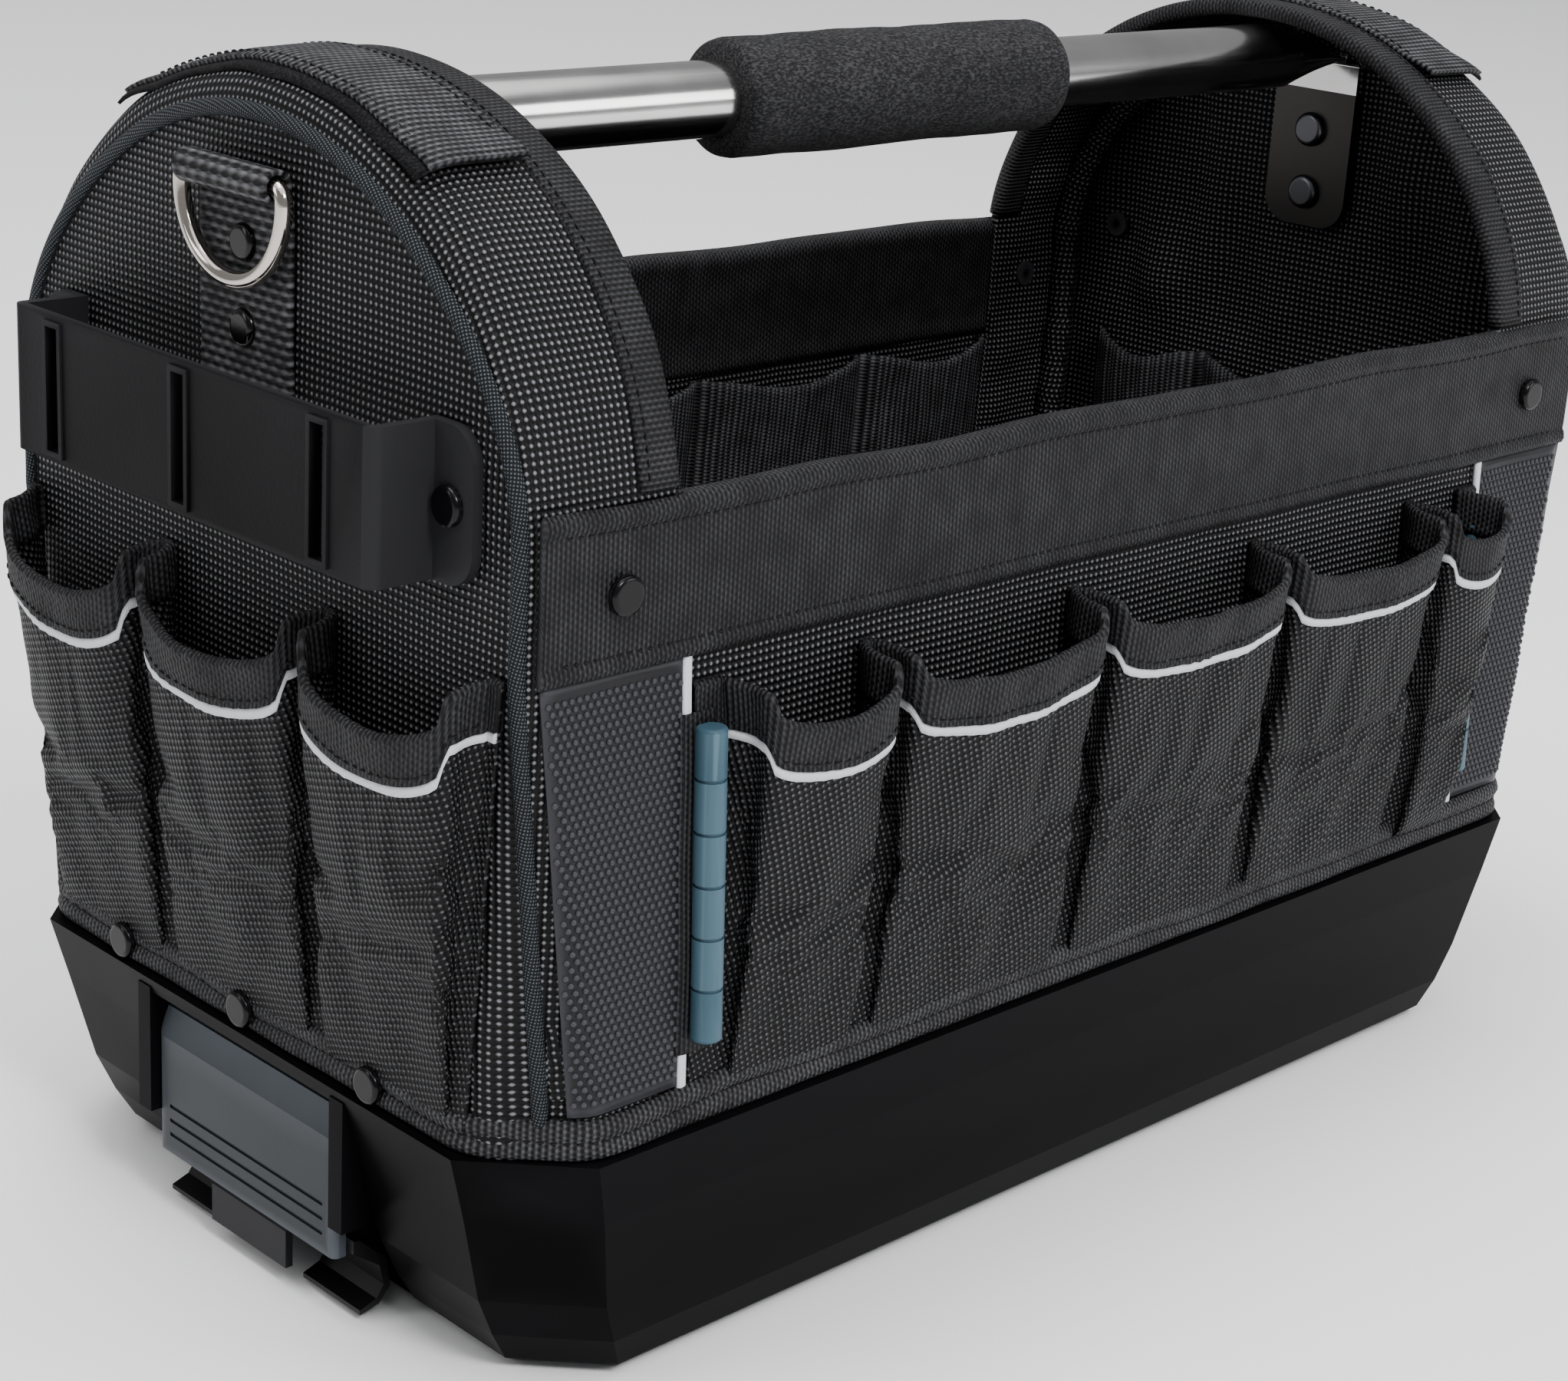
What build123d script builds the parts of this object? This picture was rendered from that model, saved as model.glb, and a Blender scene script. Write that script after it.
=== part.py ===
from build123d import *
import os
from math import atan2, degrees

# Open tool bag: a moulded tub base, a fabric body with an arched hood at each end, and a tubular steel
# handle screwed to the hoods. Millimetres, +Z up. The origin is on the floor under the middle of the base.
# +X runs along the bag: the ends are left (-X) and right (+X), the long sides are front (-Y) and back (+Y).

# ---- driving dimensions -------------------------------------------------------------------------------
RUN = 0.3  # gap between pieces that move past each other

# base tub, as chamfered rectangles: height, half length, half width, corner chamfer
HULL = (
    (0.0, 203.0, 107.0, 20.0),
    (4.0, 208.5, 111.5, 21.5),
    (14.0, 214.5, 114.5, 23.0),
    (27.0, 220.5, 116.5, 24.0),
    (55.0, 228.0, 120.5, 26.0),
    (74.0, 233.5, 122.5, 27.0),
)
HULL_WALL = 3.0
RIM_Z = 74.0
FLANGE_TOP = 86.0  # top of the upright flange that the fabric is fixed to
FLANGE_HALF = (224.8, 114.2)
FLANGE_CUT = 26.0
FLANGE_WALL = 2.5

# latch recess in each end of the tub
RECESS_BACK_X = 206.0
RECESS_HALF_Y = 43.0
RECESS_TOP = 69.3
FOOT_HALF_Y = 50.0  # the recess is wider below the cheeks
FOOT_TOP = 31.5  # clears the hook wings as the latch swings out
CHEEK = 6.0
CHEEK_FRONT_X = 233.0

# fabric body
CLOTH = 3.0
END_X = 225.0  # inner face of an end panel
END_OUT = END_X + CLOTH
HOOD_IN_X = 181.0  # open edge of a hood
SIDE_Y = 112.0  # outer face of the sides, from the shoulder of the pockets up
HEM_SIDE_Y = 117.5  # outer face of the sides at the hem
SHOULDER_Z = 204.0
SPRING_Z = 236.0  # the hood arch springs here
ARCH_RISE = 102.0
HEM_CORNER_X = 203.0  # start of the corner chamfer at the hem
SHOULDER_CORNER_X = 220.0  # start of the corner chamfer at the shoulder
HEM_HALF_END = HEM_SIDE_Y - (END_X - HEM_CORNER_X)
SHOULDER_HALF_END = SIDE_Y - (END_X - SHOULDER_CORNER_X)
LIP = 12.0  # width of the turned corner of the hood, seen from the end
PANEL_INSET = 5.0
PIPING_R = 2.0
PIPING_INSET = 2.8
ROD_R = 4.0
ROD_INSET = 7.5
ROD_X = 217.0
BIND_WIDTH = 11.0  # webbing along the open edge of a hood
TAB_WIDTH = 29.0
TAB_THICK = 2.6
TAB_END_Z = 320.0  # the tab over each hood ends here, front and back
HEM_OUT = (231.3, 120.6)  # half length and half width of the hem webbing, outside
HEM_CUT = (24.0, 22.0)  # its corner chamfers, outside and inside

# top band, folded over the upper edge of each long side
BAND_BOTTOM = SHOULDER_Z
BAND_TOP = 246.5
BAND_OUT = 2.5
BAND_IN = 2.0
BAND_HALF_X = 224.0
SIDE_TOP = 244.5

# pockets: heights of the bottom and the mouth, and how far the mouth stands out
POCKET_BOTTOM = 86.5
SIDE_MOUTH_Z = 190.0
END_MOUTH_Z = 197.0
SIDE_SEAMS = (-165.0, -111.0, -27.0, 57.0, 138.0, 165.0)
END_SEAMS = (-104.0, -37.0, 37.0, 104.0)
END_SEAMS_LOW = (-93.0, -35.0, 35.0, 93.0)
SIDE_DEPTH = 19.0
END_DEPTH = 15.0
LOW_DEPTH = 2.0
POCKET_WALL = 1.6
BINDING_HEIGHT = 12.5
BINDING_WALL = 1.0
PIPE_HEIGHT = 2.6
PIPE_WALL = 1.4

# inner pockets
LOOP_SPANS = ((-132.0, -53.0), (-51.0, 28.0), (30.0, 109.0), (111.0, 175.0))
LOOP_Z = (128.0, 204.0)
LOOP_DEPTH = 13.0
LOOP_FILLET = 3.5
INNER_SEAMS = (-86.0, -37.0, 37.0, 86.0)
INNER_Z = (92.0, 205.0)
INNER_DEPTH = 13.0

# handle
TUBE_R = 11.0
TUBE_BORE_R = 9.5
HANDLE_Z = 320.0
TUBE_HALF = 196.0
PLATE_WIDTH = 34.0
PLATE_THICK = 4.0
PLATE_BOTTOM = 259.0
GRIP_R = 17.5
GRIP_HALF = 69.0
SCREW_Z = (293.0, 271.0)
SCREW_R = 2.5
SCREW_HEAD = (6.0, 2.8)  # radius and height
SCREW_CAP = (5.0, 2.6)
SOCKET_R = 1.75
BEND_OUT = 5.0  # outer and inner radius of the bend from tube to plate
BEND_IN = 1.5
FLAT_START = 17.0  # from the end of the round tube to where it is fully flat

# D-ring, its webbing strap and the slotted bracket
STRAP_HALF = 19.0
STRAP_THICK = 1.5
STRAP_FOOT = 232.0
RING_WIRE_R = 2.3
RING_HALF = 22.3  # from the middle of the ring to the middle of its wire
RING_Z = 310.0
RING_DROP = 4.0  # straight part of each arm
LOOP_TUBE_R = 4.5
RING_X = END_OUT + STRAP_THICK + LOOP_TUBE_R
BRACKET_Z = (224.5, 264.5)
BRACKET_FACE_X = 250.0
BRACKET_WALL = 3.0
BRACKET_HALF = 80.0
BRACKET_FLANGE = 95.0
BRACKET_SLOTS = (-59.4, 0.0, 59.4)
SLOT_SIZE = (5.5, 34.0)

# latch
PIVOT = (217.0, 52.0)  # x and z of the latch pin
PIN_R = 2.0
PIN_FIT = 0.05
PLATE_HALF_Y = 42.5
PLATE_Z = (20.0, 64.0)
PLATE_FRONT_X = 230.5
PLATE_BACK_X = 226.5
LUG_Y = (-34.0, 26.0)
LUG_LENGTH = 8.0
LUG_R = 4.5
WING_HALF_Y = 46.0
CLIP_HALF_Y = 18.0
GROOVE_Z = (35.0, 30.5, 26.0)
GROOVE_LENGTH = 74.0
GROOVE = 1.2
# section of a hook wing and of the clip, as distance out along the bag and height
WING_SECTION = (
    (226.5, 26.0),
    (226.5, 22.0),
    (217.5, 15.5),
    (216.0, 9.0),
    (218.5, 5.5),
    (224.0, 3.6),
    (224.0, 2.2),
    (217.5, 3.6),
    (213.8, 8.0),
    (215.0, 17.0),
    (224.5, 25.5),
)
CLIP_SECTION = (
    (226.5, 26.0),
    (226.5, 19.5),
    (227.5, 19.5),
    (229.0, 17.5),
    (229.0, 6.0),
    (226.6, 6.0),
    (226.6, 16.5),
    (216.0, 16.5),
    (216.0, 19.0),
    (224.0, 20.0),
    (224.0, 26.0),
)

# rivets
RIVET_R = 5.3
RIVET_HEAD = 2.2
RIVET_DOME = 1.4
RIVET_TAIL_R = 4.5
RIVET_TAIL = 1.5
SHANK_R = 2.0
HEM_RIVET_Y = (-58.5, 0.0, 58.5)
HEM_RIVET_Z = 80.0
BAND_RIVET = (199.0, 224.0)
BRACKET_RIVET = (86.0, 244.5)

# corner patch: distances of its two faces from the fabric
PATCH_GAP = 0.1
PATCH_OUT = 2.0

# edge bar
BAR_X = 171.0
BAR_R = 4.2
BAR_Z = (100.0, 185.5)
BAR_SEGMENTS = 6
BAR_FLANGE = 1.2
BAR_STAND = BAR_R + 1.1  # axis of the bar to the face of the side

ON_SEAT = (Align.CENTER, Align.CENTER, Align.MIN)

os.makedirs("parts", exist_ok=True)


def save(piece, name):
    """Label a finished piece and write it."""
    piece.label = name
    export_step(piece, f"parts/{name}.step")


def save_pair(piece, stem, names, about):
    """Write a piece and its mirror image."""
    save(piece, f"{stem}_{names[0]}")
    with BuildPart() as twin:
        add(piece)
        mirror(about=about, mode=Mode.REPLACE)
    save(twin.part, f"{stem}_{names[1]}")


def save_ends(piece, stem):
    save_pair(piece, stem, ("left", "right"), Plane.YZ)


def save_sides(piece, stem):
    save_pair(piece, stem, ("front", "back"), Plane.XZ)


def side_face_y(z):
    """Distance of the outer face of a long side from the middle, at height z."""
    share = min(max((z - FLANGE_TOP) / (SHOULDER_Z - FLANGE_TOP), 0.0), 1.0)
    return HEM_SIDE_Y + (SIDE_Y - HEM_SIDE_Y) * share


def octagon(z, half_x, half_y, cut):
    """Rectangle with equal corner chamfers at height z."""
    with BuildSketch(Plane.XY.offset(z)) as outline:
        Rectangle(2 * half_x, 2 * half_y)
        chamfer(outline.vertices(), length=cut)
    return outline.sketch


def arch(x, inset):
    """Hood outline at a distance x along the bag: straight sides and an elliptical top."""
    half = SIDE_Y - inset
    with BuildSketch(Plane.YZ.offset(x)) as outline:
        with BuildLine():
            Line((-half, SHOULDER_Z), (-half, SPRING_Z))
            EllipticalCenterArc((0, SPRING_Z), half, ARCH_RISE - inset, arc_size=180)
            Line((half, SPRING_Z), (half, SHOULDER_Z))
            Line((half, SHOULDER_Z), (-half, SHOULDER_Z))
        make_face()
    return outline.sketch


def hood_plan(z, half_y, corner_x, half_end):
    """Plan of a left hood's lower part at height z: open towards the middle, with chamfered outer corners."""
    with BuildSketch(Plane.XY.offset(z)) as outline:
        with BuildLine():
            Polyline(
                (-HOOD_IN_X, -half_y),
                (-corner_x, -half_y),
                (-END_X, -half_end),
                (-END_X, half_end),
                (-corner_x, half_y),
                (-HOOD_IN_X, half_y),
                close=True,
            )
        make_face()
    return outline.sketch


def rivet(plane, grip):
    """Domed head on the plane, a shank of the gripped thickness behind it and a tail ring."""
    with BuildPart(plane) as one:
        Cylinder(RIVET_R, RIVET_HEAD, align=ON_SEAT)
        fillet(one.faces().sort_by(Axis(plane.origin, plane.z_dir))[-1].edges(), RIVET_DOME)
        with Locations((0, 0, -grip)):
            Cylinder(SHANK_R, grip, align=ON_SEAT)
        with Locations((0, 0, -grip - RIVET_TAIL)):
            Cylinder(RIVET_TAIL_R, RIVET_TAIL, align=ON_SEAT)
            Cylinder(SHANK_R - 0.6, RIVET_TAIL, align=ON_SEAT, mode=Mode.SUBTRACT)
    return one.part


def drill(points, axis, radius, reach):
    """Cut round holes along a row axis through the part being built, centred on the points."""
    turn = {"x": (0, 90, 0), "y": (90, 0, 0)}[axis]
    with Locations(*points):
        Cylinder(radius, reach, rotation=turn, mode=Mode.SUBTRACT)


HEM_RIVETS = [(-END_X, y, HEM_RIVET_Z) for y in HEM_RIVET_Y]
BRACKET_RIVETS = [(-END_OUT, side * BRACKET_RIVET[0], BRACKET_RIVET[1]) for side in (-1, 1)]
BAND_RIVETS = [(-BAND_RIVET[0], side * SIDE_Y, BAND_RIVET[1]) for side in (-1, 1)]
HANDLE_SCREWS = [(-END_X, 0, z) for z in SCREW_Z]

# ---- base tub: moulded hull, shelf and upright flange, with a latch recess in each end -----------------
SHELF_Z = RIM_Z - HULL_WALL
with BuildPart() as tub_hollow:
    inside = [(z, x - HULL_WALL, y - HULL_WALL, cut - 1.2) for z, x, y, cut in HULL]
    floor = (HULL_WALL, inside[1][1] - 1.5, inside[1][2] - 1.5, inside[1][3])
    loft([octagon(*section) for section in (floor, *inside[2:5], (SHELF_Z, *inside[5][1:]))], ruled=True)
    housing_in = RECESS_BACK_X - HULL_WALL
    for end in (-1, 1):
        with Locations((end * (housing_in + 20), 0, SHELF_Z / 2)):
            Box(40, 2 * (FOOT_HALF_Y + HULL_WALL), SHELF_Z, mode=Mode.SUBTRACT)

with BuildPart() as base_tub:
    loft([octagon(*section) for section in HULL], ruled=True)
    add(tub_hollow.part, mode=Mode.SUBTRACT)
    upright = FLANGE_TOP - SHELF_Z
    mouth = [half - FLANGE_WALL for half in FLANGE_HALF]
    extrude(octagon(SHELF_Z, *FLANGE_HALF, FLANGE_CUT), amount=upright)
    extrude(octagon(SHELF_Z, *mouth, FLANGE_CUT - 1.0), amount=upright, mode=Mode.SUBTRACT)
    reach = CHEEK_FRONT_X - RECESS_BACK_X
    for end in (-1, 1):
        cheek_x = end * (RECESS_BACK_X + reach / 2)
        for side in (-1, 1):
            with Locations((cheek_x, side * (RECESS_HALF_Y + CHEEK / 2), (FOOT_TOP + SHELF_Z) / 2)):
                Box(reach, CHEEK, SHELF_Z - FOOT_TOP)
        with Locations((end * (RECESS_BACK_X + reach), 0, RECESS_TOP / 2)):
            Box(2 * reach, 2 * RECESS_HALF_Y, RECESS_TOP, mode=Mode.SUBTRACT)
        with Locations((end * (RECESS_BACK_X + reach), 0, FOOT_TOP / 2)):
            Box(2 * reach, 2 * FOOT_HALF_Y, FOOT_TOP, mode=Mode.SUBTRACT)
        drill([(end * PIVOT[0], 0, PIVOT[1])], "y", PIN_R, 2 * (RECESS_HALF_Y + 3))
        drill([(end * END_X, y, HEM_RIVET_Z) for y in HEM_RIVET_Y], "x", SHANK_R, 20)
save(base_tub.part, "base_tub")

# ---- hem webbing round the foot of the fabric ----------------------------------------------------------
with BuildPart() as hem_band:
    hem_rise = FLANGE_TOP - RIM_Z
    extrude(octagon(RIM_Z, *HEM_OUT, HEM_CUT[0]), amount=hem_rise)
    extrude(octagon(RIM_Z, END_OUT + RUN, HEM_SIDE_Y + RUN, HEM_CUT[1]), amount=hem_rise, mode=Mode.SUBTRACT)
    drill([(end * END_X, y, HEM_RIVET_Z) for y in HEM_RIVET_Y for end in (-1, 1)], "x", SHANK_R, 20)
save(hem_band.part, "hem_band")

# ---- fabric end panels ---------------------------------------------------------------------------------
with BuildPart() as end_panel:
    extrude(arch(-END_X, PANEL_INSET), amount=-CLOTH)
    with BuildSketch(Plane.YZ.offset(-END_X)):
        with BuildLine():
            Polyline(
                (-HEM_HALF_END, RIM_Z),
                (-HEM_HALF_END, FLANGE_TOP),
                (-SHOULDER_HALF_END, SHOULDER_Z),
                (SHOULDER_HALF_END, SHOULDER_Z),
                (HEM_HALF_END, FLANGE_TOP),
                (HEM_HALF_END, RIM_Z),
                close=True,
            )
        make_face()
    extrude(amount=-CLOTH)
    drill(BRACKET_RIVETS + [(-END_X, y, HEM_RIVET_Z) for y in HEM_RIVET_Y], "x", SHANK_R, 20)
    drill(HANDLE_SCREWS, "x", SCREW_R, 20)
save_ends(end_panel.part, "end_panel")

# ---- hood gussets: arched strip with a turned outer corner, running down both sides to the hem ----------
with BuildPart() as gusset:
    loft(
        [
            hood_plan(FLANGE_TOP, HEM_SIDE_Y, HEM_CORNER_X, HEM_HALF_END),
            hood_plan(SHOULDER_Z, SIDE_Y, SHOULDER_CORNER_X, SHOULDER_HALF_END),
        ],
        ruled=True,
    )
    extrude(hood_plan(RIM_Z, HEM_SIDE_Y, HEM_CORNER_X, HEM_HALF_END), amount=FLANGE_TOP - RIM_Z)
    extrude(arch(-END_X, 0), amount=END_X - HOOD_IN_X)
    low = (HEM_SIDE_Y - CLOTH, HEM_CORNER_X - 1.2, HEM_HALF_END - 1.8)
    high = (SIDE_Y - CLOTH, SHOULDER_CORNER_X - 1.2, SHOULDER_HALF_END - 1.8)
    loft([hood_plan(FLANGE_TOP, *low), hood_plan(SHOULDER_Z, *high)], ruled=True, mode=Mode.SUBTRACT)
    extrude(hood_plan(RIM_Z, *low), amount=FLANGE_TOP - RIM_Z, mode=Mode.SUBTRACT)
    extrude(arch(-END_X + CLOTH, CLOTH), amount=END_X - CLOTH - HOOD_IN_X, mode=Mode.SUBTRACT)
    extrude(arch(-END_X, LIP), amount=CLOTH, mode=Mode.SUBTRACT)
    drill(BAND_RIVETS, "y", SHANK_R, 20)
save_ends(gusset.part, "gusset")

# ---- corner piping, frame rods and edge bindings of the hoods ------------------------------------------
with BuildPart() as hood_piping:
    inset_y = SIDE_Y - PIPING_INSET
    piping_x = -END_X - 2.2
    piping_foot = (-HEM_CORNER_X - 12.5, HEM_SIDE_Y - 9.0, FLANGE_TOP + 2.5)
    with BuildLine() as piping_path:
        with BuildLine(Plane.YZ.offset(piping_x)):
            EllipticalCenterArc((0, SPRING_Z), inset_y, ARCH_RISE - PIPING_INSET, arc_size=180)
        for side in (-1, 1):
            Polyline(
                (piping_foot[0], side * piping_foot[1], piping_foot[2]),
                (piping_x, side * inset_y, SHOULDER_Z),
                (piping_x, side * inset_y, SPRING_Z),
            )
    with BuildSketch(Plane(origin=(piping_x, -inset_y, SPRING_Z), z_dir=(0, 0, 1))):
        Circle(PIPING_R)
    sweep(path=piping_path.line, transition=Transition.ROUND)
save_ends(hood_piping.part, "hood_piping")

with BuildPart() as frame_rod:
    with BuildLine() as rod_path:
        with BuildLine(Plane.YZ.offset(-ROD_X)):
            EllipticalCenterArc((0, SPRING_Z), SIDE_Y - ROD_INSET, ARCH_RISE - ROD_INSET, arc_size=180)
        for side in (-1, 1):
            Polyline(
                (-ROD_X, side * (HEM_HALF_END - 3.0), FLANGE_TOP + 3),
                (-ROD_X, side * (SIDE_Y - ROD_INSET), SHOULDER_Z),
                (-ROD_X, side * (SIDE_Y - ROD_INSET), SPRING_Z),
            )
    with BuildSketch(Plane(origin=(-ROD_X, ROD_INSET - SIDE_Y, SPRING_Z), z_dir=(0, 0, 1))):
        Circle(ROD_R)
    sweep(path=rod_path.line, transition=Transition.ROUND)
save_ends(frame_rod.part, "frame_rod")

with BuildPart() as hood_binding:
    bind_x = -HOOD_IN_X - BIND_WIDTH
    extrude(arch(bind_x, -BINDING_WALL), amount=BIND_WIDTH + BINDING_WALL)
    extrude(arch(bind_x, 0), amount=BIND_WIDTH, mode=Mode.SUBTRACT)
    extrude(arch(-HOOD_IN_X, CLOTH + BINDING_WALL), amount=BINDING_WALL, mode=Mode.SUBTRACT)
    split(bisect_by=Plane.XY.offset(BAND_TOP + RUN), keep=Keep.TOP)
save_ends(hood_binding.part, "hood_binding")

# ---- webbing tab over the top of each hood -------------------------------------------------------------
with BuildPart() as strap_tab:
    tab_x = -HOOD_IN_X - BIND_WIDTH - 0.5 - TAB_WIDTH
    extrude(arch(tab_x, -TAB_THICK), amount=TAB_WIDTH)
    extrude(arch(tab_x, 0), amount=TAB_WIDTH, mode=Mode.SUBTRACT)
    split(bisect_by=Plane.XY.offset(TAB_END_Z), keep=Keep.TOP)
save_ends(strap_tab.part, "strap_tab")

# ---- long side panels and the folded band along their top ----------------------------------------------
with BuildPart() as side_panel:
    with BuildSketch(Plane.YZ.offset(-HOOD_IN_X)):
        with BuildLine():
            Polyline(
                (-HEM_SIDE_Y, RIM_Z),
                (-HEM_SIDE_Y, FLANGE_TOP),
                (-SIDE_Y, SHOULDER_Z),
                (-SIDE_Y, SIDE_TOP),
                (CLOTH - SIDE_Y, SIDE_TOP),
                (CLOTH - SIDE_Y, SHOULDER_Z),
                (CLOTH - HEM_SIDE_Y, FLANGE_TOP),
                (CLOTH - HEM_SIDE_Y, RIM_Z),
                close=True,
            )
        make_face()
    extrude(amount=2 * HOOD_IN_X)
save_sides(side_panel.part, "side_panel")

with BuildPart() as top_band:
    band_rise = BAND_TOP - BAND_BOTTOM
    band_mid = (BAND_TOP + BAND_BOTTOM) / 2
    inner_half = HOOD_IN_X - BINDING_WALL - RUN
    with Locations((0, -SIDE_Y - BAND_OUT / 2, band_mid)):
        Box(2 * BAND_HALF_X, BAND_OUT, band_rise)
    with Locations((0, -SIDE_Y + CLOTH + BAND_IN / 2, band_mid)):
        Box(2 * inner_half, BAND_IN, band_rise)
    with Locations((0, -SIDE_Y + CLOTH / 2, (SIDE_TOP + BAND_TOP) / 2)):
        Box(2 * inner_half, CLOTH, BAND_TOP - SIDE_TOP)
    fillet(top_band.edges().filter_by(Axis.X).group_by(Axis.Z)[-1], 1.2)
    drill([(end * BAND_RIVET[0], -SIDE_Y, BAND_RIVET[1]) for end in (-1, 1)], "y", SHANK_R, 20)
save_sides(top_band.part, "top_band")

# ---- studded corner patches, wrapping from the side onto the corner chamfer ----------------------------


def patch_plan(z, inner, outer):
    """Plan of the front left patch at height z, between two distances outside the fabric."""
    share = (z - FLANGE_TOP) / (SHOULDER_Z - FLANGE_TOP)
    corner_x = HEM_CORNER_X + (SHOULDER_CORNER_X - HEM_CORNER_X) * share
    wrap = 8.0 - 6.0 * share
    face = side_face_y(z)
    with BuildSketch(Plane.XY.offset(z)) as outline:
        with BuildLine():
            Polyline(
                (-HOOD_IN_X - 1.5, -face - inner),
                (-corner_x - 0.41 * inner, -face - inner),
                (-corner_x - wrap - 0.71 * inner, -face + wrap - 0.71 * inner),
                (-corner_x - wrap - 0.71 * outer, -face + wrap - 0.71 * outer),
                (-corner_x - 0.41 * outer, -face - outer),
                (-HOOD_IN_X - 1.5, -face - outer),
                close=True,
            )
        make_face()
    return outline.sketch


with BuildPart() as corner_patch:
    patch_low = patch_plan(FLANGE_TOP + RUN, PATCH_GAP, PATCH_OUT)
    patch_high = patch_plan(SHOULDER_Z - RUN, PATCH_GAP, PATCH_OUT)
    loft([patch_low, patch_high], ruled=True)
with BuildPart() as patch_mirrored:
    add(corner_patch.part)
    mirror(about=Plane.YZ, mode=Mode.REPLACE)
save_sides(corner_patch.part, "corner_patch_left")
save_sides(patch_mirrored.part, "corner_patch_right")

# ---- segmented edge bars on a sewn flange --------------------------------------------------------------
with BuildPart() as edge_bar:
    bar_foot = Vector(-BAR_X, -side_face_y(BAR_Z[0]) - BAR_STAND, BAR_Z[0])
    bar_head = Vector(-BAR_X, -side_face_y(BAR_Z[1]) - BAR_STAND, BAR_Z[1])
    bar_up = bar_head - bar_foot
    bar_length = bar_up.length
    bar_lean = degrees(atan2(bar_up.Y, bar_up.Z))
    with BuildSketch(Plane(origin=bar_foot, z_dir=bar_up)):
        Circle(BAR_R)
    extrude(amount=bar_length)
    fillet(edge_bar.edges().filter_by(GeomType.CIRCLE), 1.0)
    groove = bar_length / BAR_SEGMENTS
    for number in range(1, BAR_SEGMENTS):
        with BuildSketch(Plane(origin=bar_foot + bar_up * (number * groove / bar_length), z_dir=bar_up)):
            Circle(BAR_R + 1)
            Circle(BAR_R - 0.5, mode=Mode.SUBTRACT)
        extrude(amount=0.9, mode=Mode.SUBTRACT)
    flange_middle = (bar_foot + bar_head) * 0.5 + Vector(0, BAR_STAND - 0.2 - BAR_FLANGE / 2, 0)
    with Locations(Location(flange_middle, (-bar_lean, 0, 0))):
        Box(2 * BAR_R + 2, BAR_FLANGE, bar_length)
with BuildPart() as bar_mirrored:
    add(edge_bar.part)
    mirror(about=Plane.YZ, mode=Mode.REPLACE)
save_sides(edge_bar.part, "edge_bar_left")
save_sides(bar_mirrored.part, "edge_bar_right")

# ---- pockets -------------------------------------------------------------------------------------------


def pouch(wall, low, high, heights, grow, back):
    """Pocket shape between two heights. Each of low and high is (left, right, face, depth) at its height, in
    the frame of the wall, whose y axis points out of it. grow moves the outside, back moves the rear."""
    outlines = []
    for (left, right, face, depth), z in zip((low, high), heights):
        with BuildSketch(Plane(origin=(0, 0, z), x_dir=wall, z_dir=(0, 0, 1))) as outline:
            front = face + depth + grow
            shoulder = face + 0.62 * depth + grow
            with BuildLine():
                Polyline(
                    (left - grow, face + back),
                    (left + 0.1 * depth - grow, shoulder),
                    (left + 0.6 * depth, front),
                    (right - 0.6 * depth, front),
                    (right - 0.1 * depth + grow, shoulder),
                    (right + grow, face + back),
                    close=True,
                )
            make_face()
        outlines.append(outline.sketch)
    with BuildPart() as shape:
        loft(outlines, ruled=True)
    return shape.part


def between(low, high, share):
    """Section of a pocket part of the way up."""
    return tuple(a + (b - a) * share for a, b in zip(low, high))


def pocket_row(wall, sections, mouth_z):
    """Pocket shells, their bindings and their reflective piping along one wall."""
    heights = (POCKET_BOTTOM, mouth_z)
    rise = mouth_z - POCKET_BOTTOM
    bind_from = mouth_z - BINDING_HEIGHT
    pipe_from = bind_from - PIPE_HEIGHT
    with BuildPart() as shells:
        for low, high in sections:
            add(pouch(wall, low, high, heights, 0, 0))
            start = between(low, high, 0.12)
            hollow_heights = (POCKET_BOTTOM + 0.12 * rise, mouth_z)
            add(pouch(wall, start, high, hollow_heights, -POCKET_WALL, -1), mode=Mode.SUBTRACT)
    rims = []
    for bottom, top, thick in ((bind_from, mouth_z, BINDING_WALL), (pipe_from, bind_from, PIPE_WALL)):
        with BuildPart() as rim:
            for low, high in sections:
                lower = between(low, high, (bottom - POCKET_BOTTOM) / rise)
                upper = between(low, high, (top - POCKET_BOTTOM) / rise)
                add(pouch(wall, lower, upper, (bottom, top), thick, 0.2))
                add(pouch(wall, low, high, heights, 0.05, 0), mode=Mode.SUBTRACT)
        rims.append(rim.part)
    return shells.part, rims[0], rims[1]


FRONT_WALL = (-1, 0, 0)
LEFT_WALL = (0, 1, 0)
SEAM_GAP = 1.6

side_sections = []
for left, right in zip(SIDE_SEAMS, SIDE_SEAMS[1:]):
    low_face = side_face_y(POCKET_BOTTOM) + 0.1
    high_face = side_face_y(SIDE_MOUTH_Z) + 0.1
    ends = (-right + SEAM_GAP, -left - SEAM_GAP)
    side_sections.append(((*ends, low_face, LOW_DEPTH), (*ends, high_face, SIDE_DEPTH)))
end_sections = []
for low_pair, high_pair in zip(zip(END_SEAMS_LOW, END_SEAMS_LOW[1:]), zip(END_SEAMS, END_SEAMS[1:])):
    low_ends = (low_pair[0] + SEAM_GAP, low_pair[1] - SEAM_GAP)
    high_ends = (high_pair[0] + SEAM_GAP, high_pair[1] - SEAM_GAP)
    end_sections.append(((*low_ends, END_OUT + 0.1, LOW_DEPTH), (*high_ends, END_OUT + 0.1, END_DEPTH)))

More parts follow.
